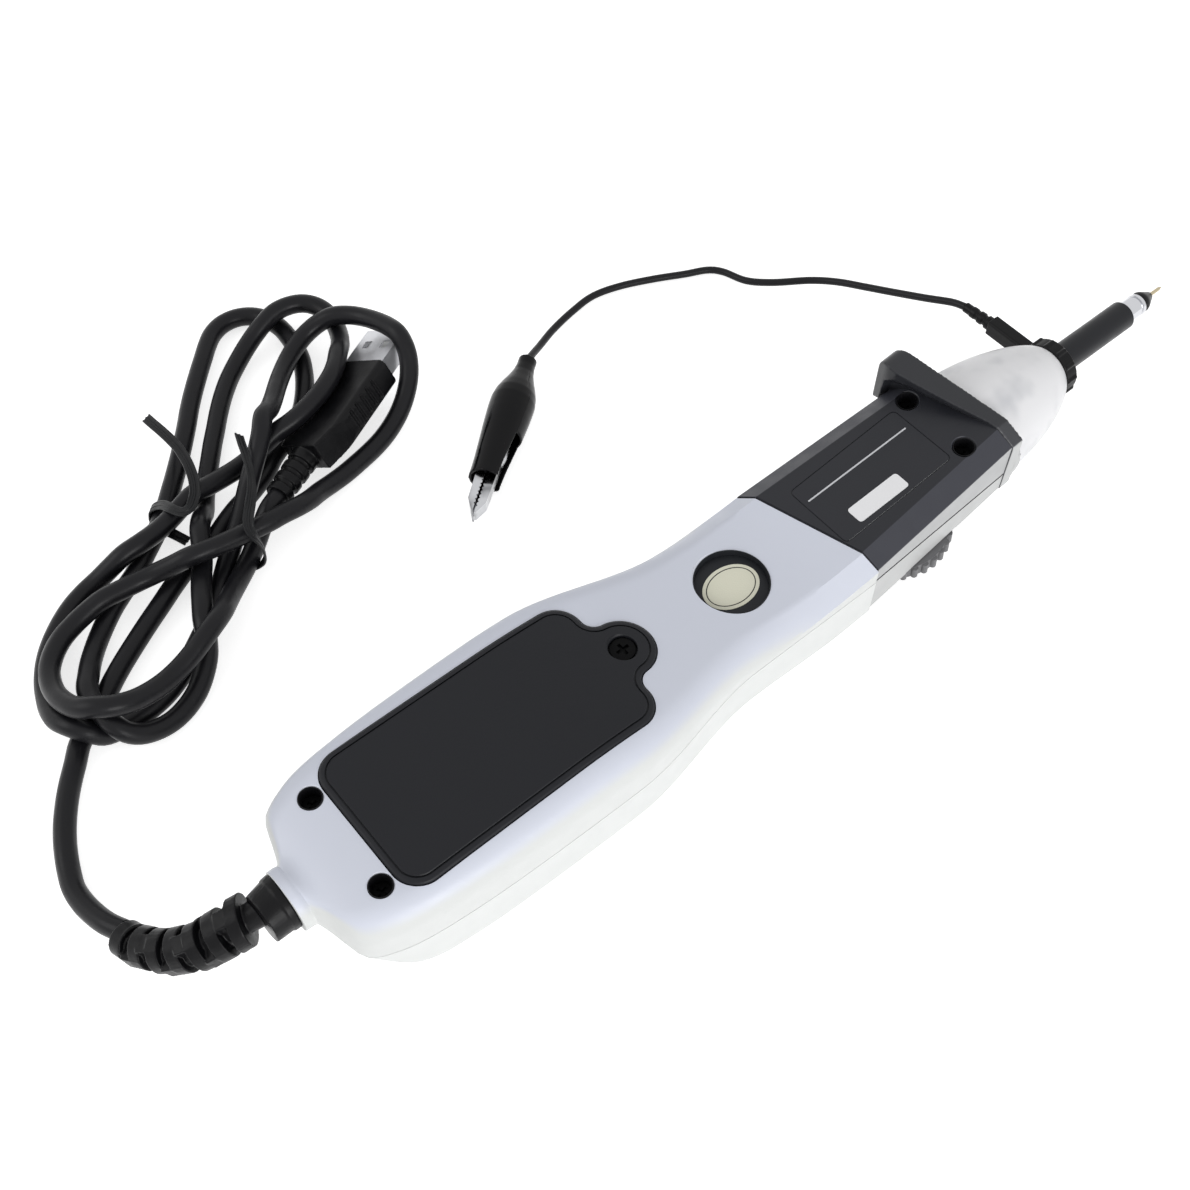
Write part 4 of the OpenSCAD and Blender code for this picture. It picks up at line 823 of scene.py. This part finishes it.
cover_bm = skin([cover_ring(d, h) for d, h in COVER_PROFILE], closed_ends=False)
cap(cover_bm, *COVER_PROFILE[-1])
cap(cover_bm, *COVER_PROFILE[0])
bmesh.ops.remove_doubles(cover_bm, verts=cover_bm.verts[:], dist=0.01)
bmesh.ops.recalc_face_normals(cover_bm, faces=cover_bm.faces[:])
cover = from_bmesh(cover_bm, "cover")
lug_z = back_z(LUG_X)
lug_well = drum(LUG_X, 0, lug_z - LUG_WELL_DEEP, lug_z + 0.5, LUG_WELL_R, 40, 0.25)
cut(cover, [from_bmesh(lug_well, "well")])
finish_piece(weld(cover), COVER, angle=30, replaces=("back_cover",))

# recess: a disc with an oval label, in a dark wall
RECESS_DEEP = 1.8
OVAL_X, OVAL_Y = RECESS_X - 0.2, -0.1
floor_z = RECESS_Z - RECESS_DEEP
disc = revolve([(floor_z - 1, 7.7), (floor_z - 0.15, 7.7), (floor_z, 7.55), (floor_z, 0)],
               72, "Z", (RECESS_X, 0, 0))
finish_piece(from_bmesh(disc, "recess_floor"), DISC, replaces=("recess_disc",))
recess_wall = revolve([(floor_z - 0.6, 7.62), (floor_z - 0.6, 7.9), (RECESS_Z - 0.22, 7.86),
                       (RECESS_Z - 0.12, 7.78), (RECESS_Z - 0.12, 7.7), (RECESS_Z - 0.24, 7.62),
                       (floor_z - 0.3, 7.62)], 72, "Z", (RECESS_X, 0, 0))
finish_piece(from_bmesh(recess_wall, "recess_wall"), DISC)


def oval_line(a, b, n=72):
    """An ellipse on the recess's floor, with half axes a and b."""
    turns = [2 * math.pi * k / n for k in range(n)]
    return [(OVAL_X + a * math.cos(u), OVAL_Y + b * math.sin(u)) for u in turns]


oval = from_bmesh(prism(oval_line(6.4, 4.9), floor_z - 0.05, floor_z + 0.1), "oval_label")
finish_piece(oval, CREAM)
ring = ring_prism(oval_line(5.65, 4.15)[::-1], 0.2, floor_z + 0.02, floor_z + 0.12)
finish_piece(from_bmesh(ring, "oval_line"), INK)

# nose and probe
GUARD_T, COLLAR_L, RING_W = 3.2, 1.4, 3.4  # the guard, its collar, and the ground ring
NOSE_BASE = NOSE_X + GUARD_T + COLLAR_L
NOSE_L, NOSE_TIP_D, NOSE_W, NOSE_H = 28.2, 12.6, 28.0, 23.0
NOSE_WALL, LEAD_IN = 1.6, 6.0         # the dome starts behind the slanted guard
AX = (0, 0, AXIS_Z)


def nose_row(t, d, n=72):
    """The dome's outline at t, 0 to 1 along it, moved inwards by d."""
    f = max(0.0, math.cos(math.pi / 2 * t ** 1.35)) ** 0.72
    a, b = mix(NOSE_TIP_D / 2, NOSE_W / 2, f) - d, mix(NOSE_TIP_D / 2, NOSE_H / 2, f) - d
    x = NOSE_BASE - LEAD_IN + (NOSE_L + LEAD_IN - d) * t
    z = AXIS_Z + (1 - t) * 0.8
    turns = [-2 * math.pi * k / n for k in range(n)]
    return [(x, a * math.cos(u), z + b * math.sin(u)) for u in turns]


ts = [1 - (1 - k / 36) ** 1.5 for k in range(37)]
outer = keep(skin([nose_row(t, 0) for t in ts]), (NOSE_BASE, 0, 0), SEAM_N)
room = keep(skin([nose_row(t, NOSE_WALL) for t in ts]), (NOSE_BASE + NOSE_WALL, 0, 0), SEAM_N)
dome = from_bmesh(outer, "nose_dome")
bore = revolve([(NOSE_BASE - 12, 3.5), (NOSE_BASE + NOSE_L + 5, 3.5)], 48, "X", AX)
cut(dome, [from_bmesh(room, "room"), from_bmesh(bore, "bore")])
finish_piece(weld(dome), LENS, replaces=("nose_lens",), angle=40)

SLEEVE_L, BARREL_L, CONE_L, NEEDLE_L = 24.0, 5.4, 4.6, 4.0
SLEEVE_R, SLEEVE_BORE, BARREL_R, NEEDLE_R = 3.4, 2.02, 2.6, 0.45
SLEEVE_X = NOSE_BASE + NOSE_L + RING_W
BARREL_X = SLEEVE_X + SLEEVE_L
CONE_X = BARREL_X + BARREL_L
TIP_X = CONE_X + CONE_L
for node, name, material, slot, n, profile in (
        ("probe_sleeve", "sleeve", SLEEVE, "sleeve_black", 64, [
            (NOSE_X - 7, SLEEVE_BORE), (NOSE_X - 7, SLEEVE_R), (SLEEVE_X + 0.2, SLEEVE_R),
            (SLEEVE_X + 0.2, 3.9), (SLEEVE_X + 0.35, 4.0), (SLEEVE_X + 1.05, 4.0),
            (SLEEVE_X + 1.2, 3.9), (SLEEVE_X + 1.2, 3.42), (SLEEVE_X + 12, SLEEVE_R),
            (BARREL_X - 0.3, SLEEVE_R), (BARREL_X, 3.15), (BARREL_X, SLEEVE_BORE)]),
        ("probe_barrel", "barrel", CHROME, "bright_metal", 64, [
            (BARREL_X, 2.55), (BARREL_X + 0.15, BARREL_R), (BARREL_X + 3.7, BARREL_R),
            (BARREL_X + 3.8, 2.4), (BARREL_X + 4.35, 2.35), (BARREL_X + 4.45, BARREL_R),
            (CONE_X - 0.15, BARREL_R), (CONE_X, 2.45)]),
        ("probe_cone", "tip_cone", BLACK, "part_black", 64, [
            (CONE_X, 2.4), (CONE_X + 0.2, 2.5), (CONE_X + 1, 2.5), (CONE_X + 1.5, 2.35),
            (CONE_X + 2, 2.1), (CONE_X + 4.2, 0.95), (TIP_X - 0.1, 0.6), (TIP_X, 0.5)]),
        ("probe_needle", "needle", BRASS, "bright_metal", 32, [
            (TIP_X - 0.5, NEEDLE_R), (TIP_X + NEEDLE_L - 1, NEEDLE_R),
            (TIP_X + NEEDLE_L - 0.15, 0.16), (TIP_X + NEEDLE_L, 0)])):
    turned = revolve(profile, n, "X", AX)
    finish_piece(from_bmesh(turned, name), material, replaces=(node,))

# painted shade: black linings that darken the screw wells' depths
well_z = back_z(SHELL_SCREW[0])
for names, (x, y), place, profile in (
        (("well_shade_lining_a", "well_shade_lining_b"), SHELL_SCREW, BODY, [
            (23.3, 1.9), (23.3, 2.38), (well_z - 0.35, 2.38), (well_z - 0.12, 2.3),
            (well_z - 0.12, 2.16), (well_z - 0.5, 1.98), (23.6, 1.9)]),
        (("well_shade_lining_c", "well_shade_lining_d"), HEAD_SCREW, HEAD, [
            (HEAD_H - 4.7, 1.9), (HEAD_H - 4.7, 2.38), (HEAD_H - 0.25, 2.38), (HEAD_H - 0.08, 2.3),
            (HEAD_H - 0.08, 2.2), (HEAD_H - 0.5, 2.0), (HEAD_H - 4.4, 1.9)])):
    for name, side in zip(names, (-1, 1)):
        well_shade_lining = revolve(profile, 40, "Z", (x, side * y, 0))
        finish_piece(from_bmesh(well_shade_lining, name), BLACK, place=place)

# moulded parts
# the cord relief's middle line as it is in the node, and how far each part of it moves and thins
RELIEF_LINE = np.column_stack([np.interp(np.linspace(0, 4, 81), range(5), column) for column in (
    (0, -9, -17, -23, -27), (0, 4, 7, 12, 20), (OUTLET_Z, 18.5, 15, 11, 7))])
RELIEF_AWAY = [0, 4, 11, 18, 24, 29, 33.6]  # from the outlet, in plan
RELIEF_SHIFT = ([BOSS_X, 1.2, 1.6, 2.3, 2.7, 2.9, 3.0], [0.6, 0, -1.2, -1.3, -0.8, -0.5, -0.3],
                [BOSS_Z - OUTLET_Z, 0.7, 0.4, 0.1, 0, 0, 0])
RELIEF_THINNER = (0.1, 0.19)  # shares of the radius, at its root and at its end


def bend_relief(ob):
    """Moves the relief's root to the boss, and lays the rest as the cord pulls it."""
    for v in ob.data.vertices:
        radial = np.array(v.co) - RELIEF_LINE
        radial = radial[np.argmin((radial ** 2).sum(axis=1))]
        away = math.hypot(v.co.x - radial[0], v.co.y - radial[1])
        shift = [float(np.interp(away, RELIEF_AWAY, column)) for column in RELIEF_SHIFT]
        thinner = float(np.interp(away, [0, RELIEF_AWAY[-1]], RELIEF_THINNER))
        v.co += Vector(shift) - Vector(radial) * thinner


for node, name, voxel, mat, slot in (
        ("ground_ring", "ring_and_arm", 0.16, RELIEF, "part_black"),
        ("ground_relief", "lead_relief", 0.12, RELIEF, "part_black"),
        ("strain_relief", "cord_relief", 0.2, RELIEF, "cord_pvc"),
        ("usb_plug_body", "plug_grip", 0.22, RELIEF, "part_black"),
        ("clip_boot", "boot", 0.24, BOOT, "boot_vinyl")):
    ob = moulded(node, name, voxel, smooth=4, ratio=0.4)
    if node == "strain_relief":
        bend_relief(ob)
    finish_piece(ob, mat, angle=0, replaces=(node,), weighted=False)

# two twist ties round the folded cord: places along each, and the way its flat side faces
TIE_A = [
    (-17.3, 124.4, 8.5, -0.18, -0.66, 0.73), (-17.2, 121.5, 9.1, -0.18, -0.65, 0.74),
    (-17, 118.6, 9.6, -0.19, -0.65, 0.74), (-16.9, 116.6, 9.9, -0.19, -0.64, 0.74),
    (-16.8, 113.7, 10.3, -0.19, -0.64, 0.74), (-16.8, 110.7, 10.6, -0.19, -0.64, 0.75),
    (-17, 108.7, 10.7, -0.19, -0.63, 0.75), (-17.4, 105.8, 10.9, -0.19, -0.63, 0.75),
    (-18.1, 102.9, 11, -0.19, -0.62, 0.76), (-19, 100.2, 10.9, -0.19, -0.61, 0.77),
    (-20.3, 97.6, 10.8, -0.18, -0.61, 0.77), (-21.4, 96.2, 10.7, -0.19, -0.62, 0.76),
    (-23.3, 94.6, 10.5, -0.14, -0.47, 0.87), (-25.1, 94.6, 10.2, -0.02, -0.13, 0.99),
    (-25.9, 95.7, 9.9, -0.07, -0.09, 0.99), (-26.6, 98.1, 9.3, -0.16, 0.11, 0.98),
    (-26.9, 100.6, 8, -0.32, 0.62, 0.72), (-27.5, 102.7, 6.4, -0.39, 0.36, 0.84),
    (-28.6, 104.4, 4.6, -0.49, 0.56, 0.67), (-29.2, 104.7, 3.2, -0.66, 0.74, 0.16),
    (-29.6, 103.7, 1.3, -0.51, 0.6, -0.62), (-29, 101.5, 0.4, 0.06, 0.07, -1),
    (-28.4, 99.7, 0.5, 0.28, -0.19, -0.94), (-27.5, 96.9, 0.8, 0.12, -0.02, -0.99),
    (-26.7, 94.1, 1.2, 0.1, 0, -1)]
TIE_B = [
    (-5.4, 102.1, 14, -0.22, -0.62, 0.75), (-6.4, 99.3, 14.4, -0.22, -0.62, 0.75),
    (-7.3, 96.5, 14.8, -0.22, -0.61, 0.76), (-8, 94.6, 15, -0.22, -0.61, 0.76),
    (-9, 91.8, 15.1, -0.22, -0.61, 0.76), (-10.3, 89.2, 14.8, -0.22, -0.6, 0.77),
    (-11.9, 86.7, 14.4, -0.21, -0.6, 0.77), (-13.7, 84.5, 14.1, -0.21, -0.59, 0.78),
    (-15.5, 82.3, 14.2, -0.21, -0.61, 0.77), (-16.6, 80.8, 14.3, -0.18, -0.52, 0.84),
    (-17.6, 78.7, 14, 0.02, -0.17, 0.98), (-17.5, 77.3, 12.6, 0.38, -0.36, 0.85),
    (-16.9, 76.9, 10.1, 0.71, -0.32, 0.63), (-16.7, 76.7, 7.4, 0.87, -0.36, 0.34),
    (-16.9, 77, 4.6, 0.91, -0.42, -0), (-17.4, 77.5, 3, 0.7, -0.66, -0.26),
    (-18.7, 78.8, 1, 0.06, -0.56, -0.83), (-20.1, 81.1, 0.4, -0.29, 0.14, -0.95)]
TIE_W = 2.4


def ribbon(line, name, turn=0.0):
    """A flat grooved ribbon; turn tips its free end about its length."""
    path = spline([q[:3] for q in line], 0.8)
    at = np.linspace(0, len(line) - 1, len(path))
    face = np.column_stack([np.interp(at, range(len(line)), [q[k] for q in line])
                            for k in (3, 4, 5)])
    tang = np.gradient(path, axis=0)
    tang /= np.linalg.norm(tang, axis=1)[:, None]
    a = TIE_W / 2
    half = [(-a, 0), (-a + 0.08, 0.2), (-a + 0.3, 0.27), (-a + 0.5, 0.12), (-0.3, 0.1),
            (-0.16, 0.27), (0.16, 0.27), (0.3, 0.1), (a - 0.5, 0.12), (a - 0.3, 0.27),
            (a - 0.08, 0.2)]
    form = half + [(-u, -v) for u, v in half]
    rows = []
    for i, (p, t, f) in enumerate(zip(path, tang, face)):
        f = f - t * f.dot(t)
        f /= np.linalg.norm(f)
        side = np.cross(f, t)
        tip = turn * ease(2.2 - 4.4 * i / len(path))
        f, side = (f * math.cos(tip) + side * math.sin(tip),
                   side * math.cos(tip) - f * math.sin(tip))
        rows.append([tuple(p + u * side + v * f) for u, v in form])
    return finish_piece(from_bmesh(skin(rows), name), TIE, place=ROW, angle=30)


ribbon(TIE_A, "tie_a")
ribbon(TIE_B, "tie_b", turn=0.8)

# carried-over nodes
for node, mat in dict(
        cover_screw=SCREW, shell_screws=SCREW, lamp_board=LAMPS, probe_stem=BRASS,
        main_board=BOARD, shield_can=CAN, head_board=BOARD, wheel_encoder=BLACK,
        scroll_wheel=RUBBER, key_switch=BLACK, front_key=KEY, usb_plug_shell=PLATED,
        usb_plug_tongue=TONGUE, clip_jaw_fixed=STEEL, clip_jaw_moving=STEEL, clip_pin=STEEL,
        clip_spring=STEEL).items():
    ob = NODES[node]
    ob.data.materials.clear()
    ob.data.materials.append(mat)

# floor, world and lamps
FLOOR_GREY, FLOOR_ROUGH = 0.82, 0.9
FLOOR_GLOW = 0.72                     # its own light for direct rays
WORLD_LIGHT = 0.56                    # on the object; direct rays see white

bm = bmesh.new()
bmesh.ops.create_grid(bm, x_segments=1, y_segments=1, size=3)
floor = from_bmesh(bm, "floor")
floor.location = (0, 0, -0.0002)


def seen_directly(tree):
    """1 for camera, glossy and transmission rays."""
    path = tree.nodes.new("ShaderNodeLightPath").outputs
    seen = maths(tree, "MAXIMUM", path["Is Camera Ray"], path["Is Glossy Ray"])
    return maths(tree, "MAXIMUM", seen, path["Is Transmission Ray"])


def white(tree, kind, strength):
    """A white light of that kind; its strength is a number or a socket."""
    n = tree.nodes.new(kind)
    n.inputs["Color"].default_value = (1, 1, 1, 1)
    if isinstance(strength, float):
        n.inputs["Strength"].default_value = strength
    else:
        tree.links.new(strength, n.inputs["Strength"])
    return n.outputs[0]


paper = bpy.data.materials.new("floor_paper")
paper.use_nodes = True
tree = paper.node_tree
bsdf = tree.nodes["Principled BSDF"]
bsdf.inputs["Base Color"].default_value = (FLOOR_GREY, FLOOR_GREY, FLOOR_GREY, 1)
bsdf.inputs["Roughness"].default_value = FLOOR_ROUGH
bsdf.inputs["Specular IOR Level"].default_value = 0.0
glow = white(tree, "ShaderNodeEmission", maths(tree, "MULTIPLY", seen_directly(tree), FLOOR_GLOW))
both = tree.nodes.new("ShaderNodeAddShader")
tree.links.new(bsdf.outputs[0], both.inputs[0])
tree.links.new(glow, both.inputs[1])
tree.links.new(both.outputs[0], tree.nodes["Material Output"].inputs["Surface"])
floor.data.materials.append(paper)

scene.world = bpy.data.worlds.new("world")
scene.world.use_nodes = True
tree = scene.world.node_tree
tree.nodes.clear()
out = tree.nodes.new("ShaderNodeOutputWorld")
mixer = tree.nodes.new("ShaderNodeMixShader")
tree.links.new(seen_directly(tree), mixer.inputs[0])
tree.links.new(white(tree, "ShaderNodeBackground", WORLD_LIGHT), mixer.inputs[1])
tree.links.new(white(tree, "ShaderNodeBackground", 1.0), mixer.inputs[2])
tree.links.new(mixer.outputs[0], out.inputs["Surface"])


def lamp(name, place, target, size, power):
    """A round soft lamp that looks at target."""
    light = bpy.data.lights.new(name, "AREA")
    light.shape, light.size, light.energy = "DISK", size, power
    ob = bpy.data.objects.new(name, light)
    scene.collection.objects.link(ob)
    ob.location = place
    ob.rotation_euler = (Vector(target) - Vector(place)).to_track_quat("-Z", "Y").to_euler()


lamp("key", (-0.15, -0.93, 0.33), (0.02, 0, 0), 0.6, 5.4)
lamp("fill", (-0.7, 0.5, 0.7), (0.05, 0, 0), 0.8, 2.6)

scene.view_settings.view_transform = "Standard"
